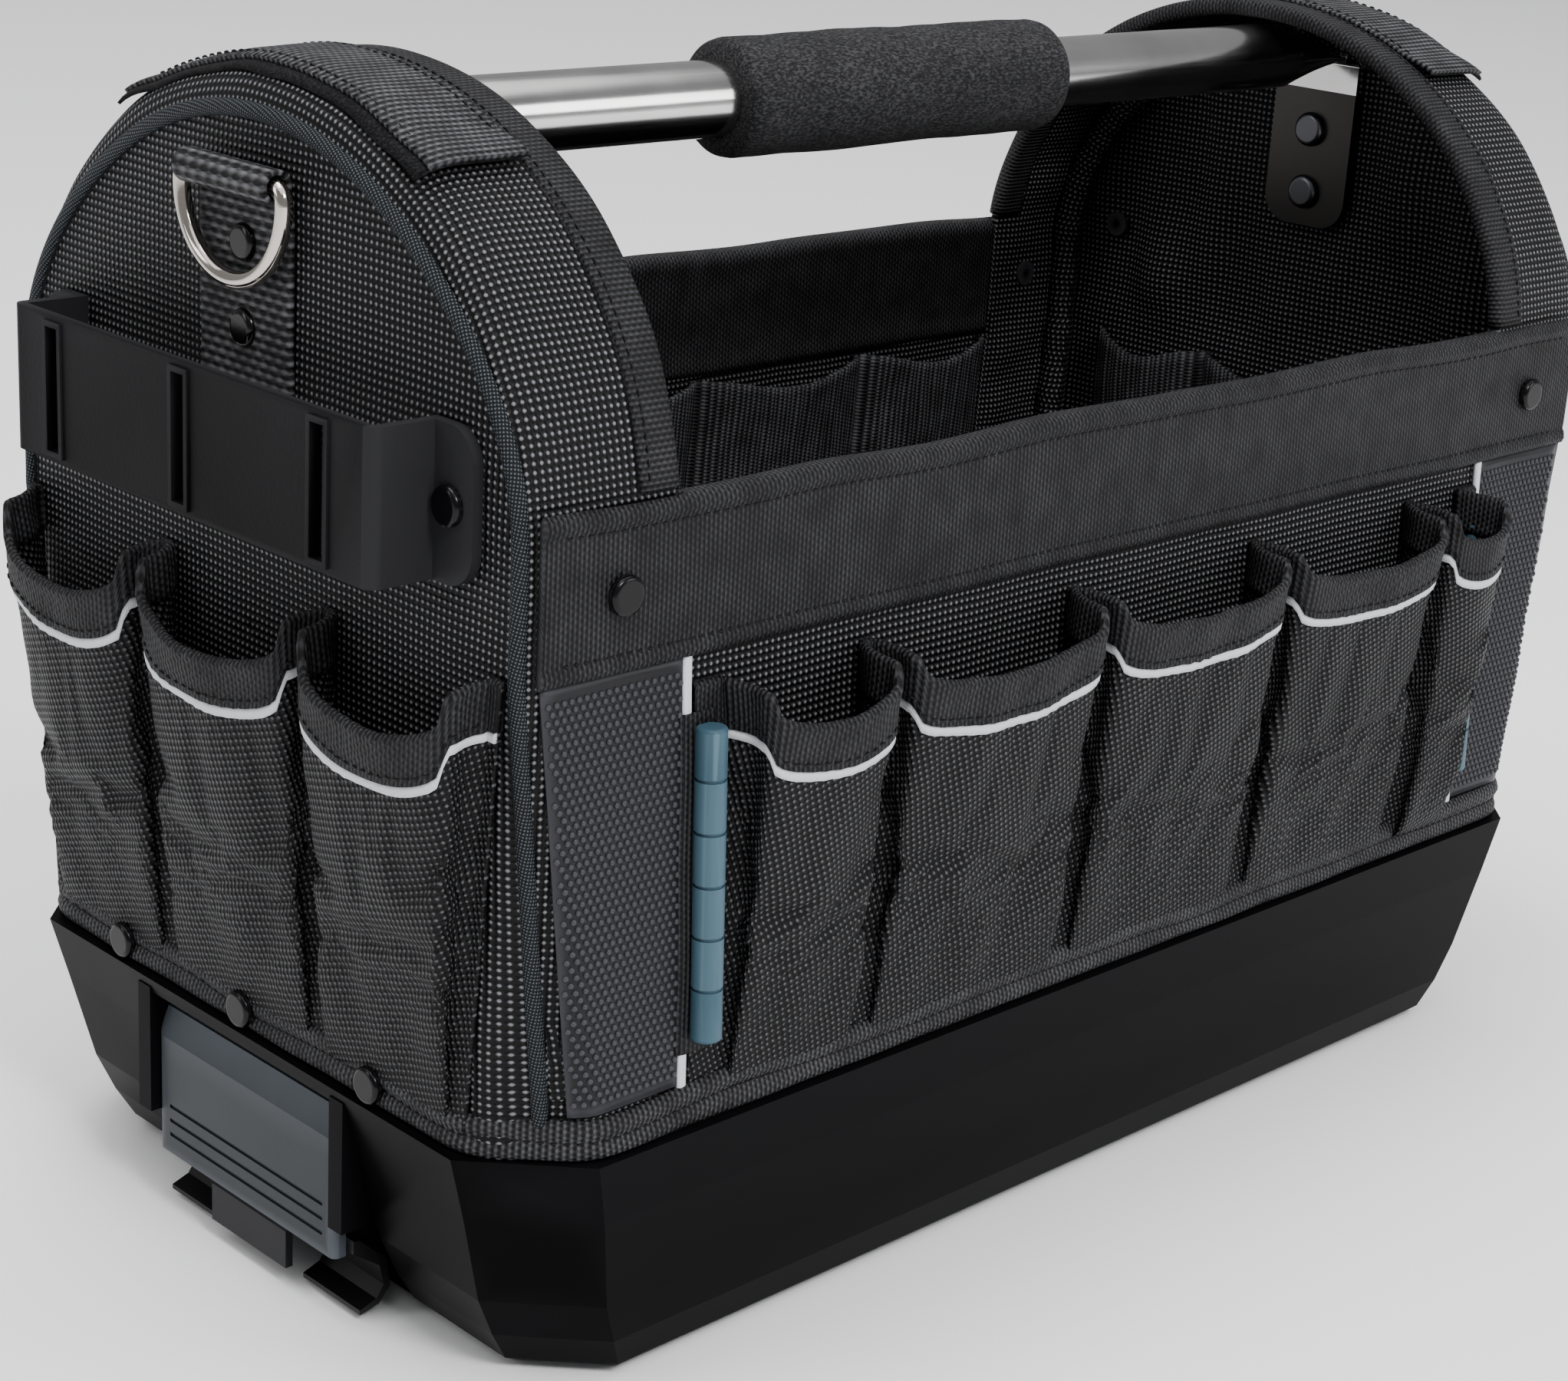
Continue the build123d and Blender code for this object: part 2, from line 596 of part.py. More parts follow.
side_pockets, side_bindings, side_reflectors = pocket_row(FRONT_WALL, side_sections, SIDE_MOUTH_Z)
end_pockets, end_bindings, end_reflectors = pocket_row(LEFT_WALL, end_sections, END_MOUTH_Z)

with BuildPart() as side_piping:
    add(side_reflectors)
    for end in (-1, 1):
        outlines = []
        for z in (FLANGE_TOP + RUN, SHOULDER_Z - RUN):
            with BuildSketch(Plane.XY.offset(z)) as strip:
                with Locations((end * (HOOD_IN_X + 0.1), -side_face_y(z) - 1.1)):
                    Rectangle(2.6, 1.8)
            outlines.append(strip.sketch)
        loft(outlines, ruled=True)

save_sides(side_pockets, "side_pockets")
save_sides(side_bindings, "side_pocket_bindings")
save_sides(side_piping.part, "side_reflective_piping")
save_ends(end_pockets, "end_pockets")
save_ends(end_bindings, "end_pocket_bindings")
save_ends(end_reflectors, "end_reflective_piping")

# ---- pockets inside: webbing loops on the back, pouches on the inner faces of the hoods -----------------
with BuildPart() as inner_loops:
    loop_rise = LOOP_Z[1] - RUN - LOOP_Z[0]
    for left, right in LOOP_SPANS:
        middle = ((left + right) / 2, SIDE_Y - CLOTH - LOOP_DEPTH / 2, LOOP_Z[0] + loop_rise / 2)
        with Locations(middle):
            Box(right - left, LOOP_DEPTH, loop_rise)
    fillet(inner_loops.edges().filter_by(Axis.Z).group_by(Axis.Y)[0], LOOP_FILLET)
    for left, right in LOOP_SPANS:
        hollow_y = SIDE_Y - CLOTH - LOOP_DEPTH / 2 + POCKET_WALL
        with Locations(((left + right) / 2, hollow_y, LOOP_Z[0] + loop_rise / 2)):
            Box(right - left - 2 * POCKET_WALL, LOOP_DEPTH, loop_rise, mode=Mode.SUBTRACT)
save(inner_loops.part, "inner_loops_back")

with BuildPart() as inner_pockets:
    inner_rise = INNER_Z[1] - INNER_Z[0]
    for left, right in zip(INNER_SEAMS, INNER_SEAMS[1:]):
        wide = right - left - 1.0
        middle = Vector(-END_X + INNER_DEPTH / 2, (left + right) / 2, INNER_Z[0] + inner_rise / 2)
        with Locations(middle):
            Box(INNER_DEPTH, wide, inner_rise)
        with Locations(middle + Vector(-POCKET_WALL, 0, 2)):
            Box(INNER_DEPTH, wide - 2 * POCKET_WALL, inner_rise, mode=Mode.SUBTRACT)
save_ends(inner_pockets.part, "inner_pockets")

# ---- slotted bracket across each end -------------------------------------------------------------------
with BuildPart() as slotted_bracket:
    bracket_rise = BRACKET_Z[1] - BRACKET_Z[0]
    bracket_mid = (BRACKET_Z[1] + BRACKET_Z[0]) / 2
    foot_x = END_OUT + BRACKET_WALL
    face_in = BRACKET_FACE_X - BRACKET_WALL
    with BuildSketch(Plane.XY.offset(BRACKET_Z[0])) as omega:
        with BuildLine():
            Polyline(
                (-END_OUT, -BRACKET_FLANGE),
                (-foot_x, -BRACKET_FLANGE),
                (-foot_x, -BRACKET_HALF),
                (-BRACKET_FACE_X, -BRACKET_HALF),
                (-BRACKET_FACE_X, BRACKET_HALF),
                (-foot_x, BRACKET_HALF),
                (-foot_x, BRACKET_FLANGE),
                (-END_OUT, BRACKET_FLANGE),
                (-END_OUT, BRACKET_HALF - BRACKET_WALL),
                (-face_in, BRACKET_HALF - BRACKET_WALL),
                (-face_in, BRACKET_WALL - BRACKET_HALF),
                (-END_OUT, BRACKET_WALL - BRACKET_HALF),
                close=True,
            )
        make_face()
    extrude(amount=bracket_rise)
    corners = slotted_bracket.edges().filter_by(Axis.Z)
    fillet(corners.group_by(Axis.X)[0], 3.5)
    tips = slotted_bracket.edges().filter_by(Axis.X).group_by(Axis.Y)
    fillet(tips[0] + tips[-1], 9.5)
    for y in BRACKET_SLOTS:
        with Locations((-BRACKET_FACE_X - 0.4, y, bracket_mid)):
            Box(0.8, SLOT_SIZE[0] + 3, SLOT_SIZE[1] + 3)
        with Locations((-BRACKET_FACE_X, y, bracket_mid)):
            Box(4 * BRACKET_WALL, *SLOT_SIZE, mode=Mode.SUBTRACT)
    drill([(-END_OUT, side * BRACKET_RIVET[0], BRACKET_RIVET[1]) for side in (-1, 1)], "x", SHANK_R, 20)
save_ends(slotted_bracket.part, "slotted_bracket")

# ---- rivets --------------------------------------------------------------------------------------------
with BuildPart() as hem_rivets:
    for end in (-1, 1):
        for y in HEM_RIVET_Y:
            plane = Plane(origin=(end * HEM_OUT[0], y, HEM_RIVET_Z), z_dir=(end, 0, 0))
            add(rivet(plane, HEM_OUT[0] - FLANGE_HALF[0] + FLANGE_WALL))
save(hem_rivets.part, "hem_rivets")

with BuildPart() as band_rivets:
    for end in (-1, 1):
        for side in (-1, 1):
            origin = (end * BAND_RIVET[0], side * (SIDE_Y + BAND_OUT), BAND_RIVET[1])
            add(rivet(Plane(origin=origin, z_dir=(0, side, 0)), BAND_OUT + CLOTH))
save(band_rivets.part, "band_rivets")

with BuildPart() as bracket_rivets:
    for end in (-1, 1):
        for side in (-1, 1):
            origin = (end * (END_OUT + BRACKET_WALL), side * BRACKET_RIVET[0], BRACKET_RIVET[1])
            add(rivet(Plane(origin=origin, z_dir=(end, 0, 0)), BRACKET_WALL + CLOTH))
save(bracket_rivets.part, "bracket_rivets")

# ---- D-ring strap: webbing down the end panel, with a folded loop at its top ----------------------------
with BuildPart() as ring_strap:
    with BuildSketch(Plane.XZ.offset(-STRAP_HALF)) as strap_side:
        with Locations((-END_OUT - STRAP_THICK / 2, (STRAP_FOOT + RING_Z) / 2)):
            Rectangle(STRAP_THICK, RING_Z - STRAP_FOOT)
        with Locations((-RING_X, RING_Z)):
            Circle(LOOP_TUBE_R)
        with Locations((-END_OUT - STRAP_THICK - 1.2, RING_Z)):
            Rectangle(2.6, 5.0)
        with Locations((-RING_X, RING_Z)):
            Circle(RING_WIRE_R + RUN, mode=Mode.SUBTRACT)
    extrude(amount=2 * STRAP_HALF)
    drill(HANDLE_SCREWS, "x", SCREW_R, 20)
save_ends(ring_strap.part, "ring_strap")

with BuildPart() as d_ring:
    arc_z = RING_Z - RING_DROP
    bar_half = RING_HALF - RING_DROP
    with BuildSketch(Plane(origin=(-RING_X, -bar_half, RING_Z), z_dir=(0, 1, 0))):
        Circle(RING_WIRE_R)
    extrude(amount=2 * bar_half)
    bends = (
        (-RING_HALF, Axis((-RING_X, 0, arc_z), (1, 0, 0)), 180),
        (-RING_HALF, Axis((-RING_X, -bar_half, arc_z), (-1, 0, 0)), 90),
        (RING_HALF, Axis((-RING_X, bar_half, arc_z), (1, 0, 0)), 90),
    )
    for start_y, axis, turn in bends:
        with BuildSketch(Plane(origin=(-RING_X, start_y, arc_z), z_dir=(0, 0, 1))):
            Circle(RING_WIRE_R)
        revolve(axis=axis, revolution_arc=turn)
save_ends(d_ring.part, "d_ring")

# ---- handle: round tube whose ends are flattened and bent down into screw plates ------------------------
with BuildPart() as handle_tube:
    flat_start = TUBE_HALF + FLAT_START
    plate_out = END_X
    plate_in = END_X - PLATE_THICK
    plate_top = HANDLE_Z + PLATE_THICK / 2
    for end in (-1, 1):
        middle_face = Plane(origin=(0, 0, HANDLE_Z), x_dir=(0, 1, 0), z_dir=(end, 0, 0))
        with BuildSketch(middle_face):
            Circle(TUBE_R)
        extrude(amount=TUBE_HALF)
        with BuildSketch(middle_face.offset(TUBE_HALF)):
            Circle(TUBE_R)
        with BuildSketch(middle_face.offset(flat_start)):
            Ellipse(PLATE_WIDTH / 2, PLATE_THICK / 2)
        loft()
        with BuildSketch(Plane.XZ.offset(-PLATE_WIDTH / 2)) as bend:
            under = plate_top - PLATE_THICK
            with BuildLine():
                Line((end * flat_start, plate_top), (end * (plate_out - BEND_OUT), plate_top))
                TangentArc(
                    (end * (plate_out - BEND_OUT), plate_top),
                    (end * plate_out, plate_top - BEND_OUT),
                    tangent=(end, 0),
                )
                Polyline(
                    (end * plate_out, plate_top - BEND_OUT),
                    (end * plate_out, PLATE_BOTTOM),
                    (end * plate_in, PLATE_BOTTOM),
                    (end * plate_in, under - BEND_IN),
                )
                TangentArc(
                    (end * plate_in, under - BEND_IN),
                    (end * (plate_in - BEND_IN), under),
                    tangent=(0, 1),
                )
                Polyline(
                    (end * (plate_in - BEND_IN), under),
                    (end * flat_start, under),
                    (end * flat_start, plate_top),
                )
            make_face()
        extrude(amount=PLATE_WIDTH)
    tips = handle_tube.edges().filter_by(Axis.X).group_by(Axis.Z)[0]
    fillet(tips, 10.0)
    with BuildSketch(Plane.YZ.offset(-TUBE_HALF)):
        with Locations((0, HANDLE_Z)):
            Circle(TUBE_BORE_R)
    extrude(amount=2 * TUBE_HALF, mode=Mode.SUBTRACT)
    drill([(end * END_X, 0, z) for z in SCREW_Z for end in (-1, 1)], "x", SCREW_R, 20)
save(handle_tube.part, "handle_tube")

with BuildPart() as foam_grip:
    with BuildSketch(Plane.YZ.offset(-GRIP_HALF)):
        with Locations((0, HANDLE_Z)):
            Circle(GRIP_R)
    extrude(amount=2 * GRIP_HALF)
    fillet(foam_grip.edges().filter_by(GeomType.CIRCLE), 5.0)
    with BuildSketch(Plane.YZ.offset(-GRIP_HALF)):
        with Locations((0, HANDLE_Z)):
            Circle(TUBE_R)
    extrude(amount=2 * GRIP_HALF, mode=Mode.SUBTRACT)
save(foam_grip.part, "foam_grip")

# ---- screws through the handle plates, and their outer caps --------------------------------------------
shank_reach = CLOTH + STRAP_THICK + PLATE_THICK
with BuildPart() as handle_screws:
    for end in (-1, 1):
        for z in SCREW_Z:
            seat = Plane(origin=(end * plate_in, 0, z), z_dir=(-end, 0, 0))
            with BuildPart(seat) as screw:
                Cylinder(*SCREW_HEAD, align=ON_SEAT)
                fillet(screw.faces().sort_by(Axis(seat.origin, seat.z_dir))[-1].edges(), 1.8)
                with Locations((0, 0, 1.2)):
                    with BuildSketch() as socket:
                        RegularPolygon(SOCKET_R, 6)
                    extrude(socket.sketch, amount=2, mode=Mode.SUBTRACT)
                with Locations((0, 0, -shank_reach)):
                    Cylinder(SCREW_R, shank_reach, align=ON_SEAT)
            add(screw.part)
save(handle_screws.part, "handle_screws")

with BuildPart() as screw_caps:
    for end in (-1, 1):
        for z in SCREW_Z:
            seat = Plane(origin=(end * (END_OUT + STRAP_THICK), 0, z), z_dir=(end, 0, 0))
            with BuildPart(seat) as cap:
                Cylinder(*SCREW_CAP, align=ON_SEAT)
                fillet(cap.faces().sort_by(Axis(seat.origin, seat.z_dir))[-1].edges(), 1.6)
            add(cap.part)
save(screw_caps.part, "screw_caps")

# ---- latch on each end: pulled out at the bottom, it lets go of the box below ---------------------------
with BuildPart() as latch_plate:
    pin_x = -PIVOT[0]
    with BuildSketch(Plane.XZ.offset(-PLATE_HALF_Y)) as plate_side:
        with BuildLine():
            Polyline(
                (-PLATE_BACK_X, PLATE_Z[0]),
                (-PLATE_FRONT_X, PLATE_Z[0]),
                (-PLATE_FRONT_X, PLATE_Z[1] - 8),
                (-PLATE_BACK_X - 0.5, PLATE_Z[1]),
                (-PLATE_BACK_X + 2, PLATE_Z[1]),
                (-PLATE_BACK_X, PLATE_Z[1] - 4),
                close=True,
            )
        make_face()
    extrude(amount=2 * PLATE_HALF_Y)
    fillet(latch_plate.edges().filter_by(Axis.Z).group_by(Axis.X)[0], 2.0)
    for z in GROOVE_Z:
        with Locations((-PLATE_FRONT_X, 0, z)):
            Box(GROOVE, GROOVE_LENGTH, GROOVE, mode=Mode.SUBTRACT)
    for start in LUG_Y:
        with BuildSketch(Plane.XZ.offset(-start)) as lug:
            with BuildLine():
                Polyline(
                    (-PLATE_BACK_X, 44),
                    (-PLATE_BACK_X, PLATE_Z[1] - 4),
                    (pin_x, PIVOT[1] + LUG_R),
                    (pin_x, PIVOT[1] - LUG_R),
                    close=True,
                )
            make_face()
            with Locations((pin_x, PIVOT[1])):
                Circle(LUG_R)
                Circle(PIN_R + PIN_FIT, mode=Mode.SUBTRACT)
        extrude(amount=-LUG_LENGTH)
    # hook wings below the plate, one each side of the clip
    for side in (-1, 1):
        wing_start = CLIP_HALF_Y + 1.5
        with BuildSketch(Plane.XZ.offset(-wing_start if side > 0 else WING_HALF_Y)) as wing:
            with BuildLine():
                Polyline(*[(-x, z) for x, z in WING_SECTION], close=True)
            make_face()
        extrude(amount=-(WING_HALF_Y - wing_start))
save_ends(latch_plate.part, "latch_plate")

with BuildPart() as latch_clip:
    with BuildSketch(Plane.XZ.offset(-CLIP_HALF_Y)) as clip_side:
        with BuildLine():
            Polyline(*[(-x, z) for x, z in CLIP_SECTION], close=True)
        make_face()
    extrude(amount=2 * CLIP_HALF_Y)
save_ends(latch_clip.part, "latch_clip")

with BuildPart() as latch_pins:
    for end in (-1, 1):
        with Locations((end * PIVOT[0], 0, PIVOT[1])):
            Cylinder(PIN_R, 2 * (RECESS_HALF_Y + 3), rotation=(90, 0, 0))
save(latch_pins.part, "latch_pins")
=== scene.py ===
"""Looks for an open tool bag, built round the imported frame.

Lengths in this file are millimetres unless a name says otherwise, and MM turns them into metres. The frame's
axes hold: x runs along the bag, left end at -x, front at -y, z up. Shapes are worked out for the left end and
the front, and the right end and the back are their mirror images.
"""
import math

import bmesh
import bpy
import numpy as np
from mathutils import Matrix, Vector


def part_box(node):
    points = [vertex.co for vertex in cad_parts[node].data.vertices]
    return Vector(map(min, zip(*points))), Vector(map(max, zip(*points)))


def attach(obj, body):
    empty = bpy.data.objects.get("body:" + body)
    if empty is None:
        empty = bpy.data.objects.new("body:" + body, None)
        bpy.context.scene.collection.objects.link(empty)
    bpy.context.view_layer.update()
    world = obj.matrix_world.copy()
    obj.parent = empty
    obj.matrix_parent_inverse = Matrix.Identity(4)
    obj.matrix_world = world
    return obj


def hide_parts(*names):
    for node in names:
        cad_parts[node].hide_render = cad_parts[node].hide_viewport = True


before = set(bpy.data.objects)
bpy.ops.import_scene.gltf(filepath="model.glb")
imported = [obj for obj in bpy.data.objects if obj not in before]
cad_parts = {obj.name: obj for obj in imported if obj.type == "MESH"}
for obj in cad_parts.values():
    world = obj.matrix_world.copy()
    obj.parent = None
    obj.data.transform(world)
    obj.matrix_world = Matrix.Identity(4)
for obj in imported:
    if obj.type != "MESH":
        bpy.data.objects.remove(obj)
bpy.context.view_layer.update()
MM = 0.001

# ---- sizes read from the frame ------------------------------------------------------------------------


def low(node, axis):
    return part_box(node)[0][axis] / MM


def high(node, axis):
    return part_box(node)[1][axis] / MM


CLOTH = 3.0
END_OUT = -low("end_panel_left", 0)
HOOD_IN = -high("gusset_left", 0)
HEM_Y = high("gusset_left", 1)
RIM_Z = low("gusset_left", 2)
ARCH_TOP = high("gusset_left", 2)
HEM_TOP = high("hem_band", 2)
BAND_LOW = low("top_band_front", 2)
BAND_TOP = high("top_band_front", 2)
BAND_HALF = high("top_band_front", 0)
SIDE_Y = -low("top_band_front", 1) - 2.5
SPRING_Z = 236.0
HANDLE_Z = (low("foam_grip", 2) + high("foam_grip", 2)) / 2
GRIP_R = (high("foam_grip", 2) - low("foam_grip", 2)) / 2
GRIP_HALF = high("foam_grip", 0)
HEM_CORNER_X = 203.0
SHOULDER_CORNER_X = 220.0
ROLL_X = 213.0  # the turned corner of a hood starts here
PIPING_R = 2.3
ROD_X = 217.0  # the frame rod in its sleeve, at most this far out
SIDE_SEAMS = (-165.0, -111.0, -27.0, 57.0, 138.0, 166.0)
END_SEAMS = (-104.0, -37.0, 37.0, 104.0)
END_SEAMS_LOW = (-94.0, -35.0, 35.0, 94.0)

# ---- small helpers ------------------------------------------------------------------------------------


def ramp(value, start, end, first, last):
    """first below start, last above end, and a straight line between."""
    share = np.clip((np.asarray(value, float) - start) / (end - start), 0, 1)
    return first + (last - first) * share


def ease(share):
    share = np.clip(share, 0, 1)
    return share * share * (3 - 2 * share)


def side_y(z):
    """Distance of the outer face of a long side from the middle."""
    return ramp(z, HEM_TOP, BAND_LOW, HEM_Y, SIDE_Y)


def folds(u, v, wave, seed, count=7, stretch=1.0):
    """Smooth wrinkles between about -1 and 1, of the given wavelength, longer along v by stretch."""
    rng = np.random.default_rng(seed)
    total = np.zeros(np.broadcast(u, v).shape)
    for _ in range(count):
        angle = rng.uniform(0, 2 * math.pi)
        k = 2 * math.pi / (wave * rng.uniform(0.7, 1.7))
        total += np.sin(k * (u * math.cos(angle) + v * math.sin(angle) / stretch) + rng.uniform(0, 7))
    return total / math.sqrt(count) * 0.8


def unit(vectors):
    return vectors / np.maximum(np.linalg.norm(vectors, axis=-1, keepdims=True), 1e-9)


def grid_normals(grid, wrap=False):
    """Unit normals of a grid of points, rows by columns."""
    if wrap:
        padded = np.concatenate([grid[:, -1:], grid, grid[:, :1]], axis=1)
        across = (padded[:, 2:] - padded[:, :-2]) / 2
    else:
        across = np.gradient(grid, axis=1)
    return unit(np.cross(across, np.gradient(grid, axis=0)))


def arc_lengths(points):
    steps = np.linalg.norm(np.diff(points, axis=0), axis=1)
    return np.concatenate([[0.0], np.cumsum(steps)])


def resample(points, step):
    """Points along a polyline, evenly spaced."""
    points = np.asarray(points, float)
    along = arc_lengths(points)
    count = max(2, int(round(along[-1] / step)) + 1)
    wanted = np.linspace(0, along[-1], count)
    return np.stack([np.interp(wanted, along, points[:, k]) for k in range(points.shape[1])], axis=1)


def smooth_line(points, rounds, closed=False, held=None):
    """Rounds off the corners of a polyline by averaging, leaving held points where they are."""
    points = np.asarray(points, float).copy()
    for _ in range(rounds):
        before = points.copy()
        if closed:
            points = (np.roll(points, 1, 0) + 2 * points + np.roll(points, -1, 0)) / 4
        else:
            points[1:-1] = (points[:-2] + 2 * points[1:-1] + points[2:]) / 4
        if held is not None:
            points[held] = before[held]
    return points


# ---- meshes, passed round as (points, faces, uvs) -------------------------------------------------------
MIRROR = {"x": np.array((-1.0, 1.0, 1.0)), "y": np.array((1.0, -1.0, 1.0))}


def add_piece(name, mesh_data, mat, replaces=(), mirror=""):
    """A closed piece, riding on the bag, from points in millimetres. mirror names the axes to mirror it over."""
    verts, faces, uvs = mesh_data
    for axis in mirror:
        verts = verts * MIRROR[axis]
    mesh = bpy.data.meshes.new(name)
    mesh.from_pydata((verts * MM).tolist(), [], faces)
    layer = mesh.uv_layers.new(name="weave")
    index = np.zeros(len(mesh.loops), int)
    mesh.loops.foreach_get("vertex_index", index)
    layer.data.foreach_set("uv", np.asarray(uvs, np.float32)[index].ravel())
    mesh.materials.append(mat)
    mesh.polygons.foreach_set("use_smooth", [True] * len(mesh.polygons))
    mesh.validate()
    mesh.update()
    piece = bpy.data.objects.new(name, mesh)
    bpy.context.scene.collection.objects.link(piece)
    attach(piece, "bag")
    if replaces:
        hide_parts(*replaces)
    bm = bmesh.new()
    bm.from_mesh(mesh)
    bmesh.ops.recalc_face_normals(bm, faces=bm.faces)
    bm.to_mesh(mesh)
    bm.free()
    return piece


def uv_grid(u, v):
    return np.stack(np.broadcast_arrays(u, v), axis=-1)


def quads(rows, cols, start=0, wrap=False, flip=False):
    """Faces between neighbouring points of a grid."""
    faces = []
    for r in range(rows - 1):
        for c in range(cols if wrap else cols - 1):
            a, b = start + r * cols + c, start + r * cols + (c + 1) % cols
            face = (a, b, b + cols, a + cols)
            faces.append(face[::-1] if flip else face)
    return faces


def shell_mesh(outer, inner, uv, wrap=False):
    """Closed skin between two grids. add_piece turns its faces outwards."""
    rows, cols = outer.shape[:2]
    count = rows * cols
    faces = quads(rows, cols, 0, wrap) + quads(rows, cols, count, wrap, True)
    for r in (0, rows - 1):
        for c in range(cols if wrap else cols - 1):
            a, b = r * cols + c, r * cols + (c + 1) % cols
            faces.append((b, a, count + a, count + b))
    if not wrap:
        for c in (0, cols - 1):
            for r in range(rows - 1):
                a, b = r * cols + c, (r + 1) * cols + c
                faces.append((a, b, count + b, count + a))
    flat_uv = uv.reshape(-1, 2)
    verts = np.concatenate([outer.reshape(-1, 3), inner.reshape(-1, 3)])
    return verts, faces, np.concatenate([flat_uv, flat_uv])


def loop_mesh(grid, uv):
    """Closed sweep: each row of the grid is one closed section, and both ends are capped."""
    rows, cols = grid.shape[:2]
    faces = quads(rows, cols, 0, True)
    faces.append(tuple(range(cols))[::-1])
    faces.append(tuple((rows - 1) * cols + k for k in range(cols)))
    return grid.reshape(-1, 3), faces, uv.reshape(-1, 2)


def circle(sides):
    """Cosines and sines of evenly spaced angles, as columns."""
    angles = 2 * math.pi * np.arange(sides)[:, None] / sides
    return np.cos(angles), np.sin(angles)


def tube_mesh(path, radius, sides=14):
    """Tube round a path, with closed ends. radius is one number, or one for each point."""
    radius = np.broadcast_to(radius, (len(path),))
    cosines, sines = circle(sides)
    tangents = unit(np.gradient(path, axis=0))
    normal = np.cross(tangents[0], (0.31, 0.17, 0.93))
    rings = []
    for point, tangent, reach in zip(path, tangents, radius):
        normal = unit(normal - tangent * normal.dot(tangent))
        rings.append(point + reach * (normal * cosines + np.cross(tangent, normal) * sines))
    turn = 2 * math.pi * np.arange(sides) / sides
    return loop_mesh(np.array(rings), uv_grid(arc_lengths(path)[:, None], radius[:, None] * turn))


def join_meshes(parts):
    """Several (points, faces, uvs) as one."""
    verts, faces, uvs, start = [], [], [], 0
    for v, f, u in parts:
        verts.append(v)
        uvs.append(u)
        faces += [tuple(i + start for i in face) for face in f]
        start += len(v)
    return np.concatenate(verts), faces, np.concatenate(uvs)


STITCH_PITCH = 3.4
STITCH_LENGTH = 2.4
THREAD_R = 0.36
STITCH_LIFT = 0.12
STITCH_RINGS = ((-0.5, 0.25, -0.25), (-0.25, 0.9, 0.1), (0.25, 0.9, 0.1), (0.5, 0.25, -0.25))


def stitch_mesh(path, normals):
    """Sewing thread: one small spindle per stitch along a path on the cloth."""
    along = arc_lengths(path)
    places = np.arange(STITCH_PITCH, along[-1] - STITCH_PITCH / 2, STITCH_PITCH)

    def beside(values, shift=0.0):
        return np.stack([np.interp(places + shift, along, values[:, k]) for k in range(3)], 1)

    centres = beside(path)
    ups = unit(beside(normals))
    tangents = unit(beside(path, 0.5) - centres)
    cosines, sines = circle(6)
    spindles = []
    for centre, up, tangent, side in zip(centres, ups, tangents, unit(np.cross(tangents, ups))):
        ring = side * cosines + up * sines
        grid = [
            centre + tangent * at * STITCH_LENGTH + up * (STITCH_LIFT + rise) + THREAD_R * swell * ring
            for at, swell, rise in STITCH_RINGS
        ]
        spindles.append(loop_mesh(np.array(grid), np.array(grid)[..., :2]))
    return join_meshes(spindles)


def add_stitches(name, lines, mirror=""):
    mesh = join_meshes([stitch_mesh(path, normals) for path, normals in lines])
    add_piece(name, mesh, THREAD, (), mirror)


# ---- materials ----------------------------------------------------------------------------------------


def start_material(name, color, rough, metallic=0.0, sheen=0.0, specular=0.5):
    mat = bpy.data.materials.new(name)
    mat.use_nodes = True
    shader = mat.node_tree.nodes["Principled BSDF"]
    shader.inputs["Base Color"].default_value = (*color, 1)
    shader.inputs["Roughness"].default_value = rough
    shader.inputs["Metallic"].default_value = metallic
    shader.inputs["Sheen Weight"].default_value = sheen
    shader.inputs["Sheen Roughness"].default_value = 0.4
    shader.inputs["Specular IOR Level"].default_value = specular
    return mat, mat.node_tree, shader


def add_node(tree, kind, inputs=None, **settings):
    made = tree.nodes.new(kind)
    for key, value in settings.items():
        setattr(made, key, value)
    for key, value in (inputs or {}).items():
        if isinstance(value, bpy.types.NodeSocket):
            tree.links.new(value, made.inputs[key])
        else:
            made.inputs[key].default_value = value
    return made


def math_node(tree, operation, a, b=0.0, c=0.0):
    return add_node(tree, "ShaderNodeMath", {0: a, 1: b, 2: c}, operation=operation).outputs[0]


def color_ramp(tree, fac, stops):
    made = add_node(tree, "ShaderNodeValToRGB", {"Fac": fac})
    elements = made.color_ramp.elements
    while len(elements) < len(stops):
        elements.new(0.5)
    for element, (at, color) in zip(elements, stops):
        element.position = at
        element.color = (*color, 1)
    return made.outputs["Color"]


def cloth_axes(tree, angle):
    """Thread directions u and v, in millimetres along the cloth, turned by an angle."""
    uv = add_node(tree, "ShaderNodeUVMap", uv_map="weave").outputs["UV"]
    turn = add_node(tree, "ShaderNodeMapping", {"Vector": uv, "Rotation": (0, 0, math.radians(angle))})
    split = add_node(tree, "ShaderNodeSeparateXYZ", {0: turn.outputs[0]})
    return split.outputs["X"], split.outputs["Y"]


def object_coords(tree):
    return add_node(tree, "ShaderNodeTexCoord").outputs["Object"]


def noise_of(tree, vector, scale, detail=2.0, rough=0.5):
    inputs = {"Vector": vector, "Scale": scale, "Detail": detail, "Roughness": rough}
    return add_node(tree, "ShaderNodeTexNoise", inputs).outputs["Fac"]


def add_bump(tree, shader, height, strength, distance):
    inputs = {"Height": height, "Strength": strength, "Distance": distance * MM}
    bump = add_node(tree, "ShaderNodeBump", inputs)
    tree.links.new(bump.outputs["Normal"], shader.inputs["Normal"])


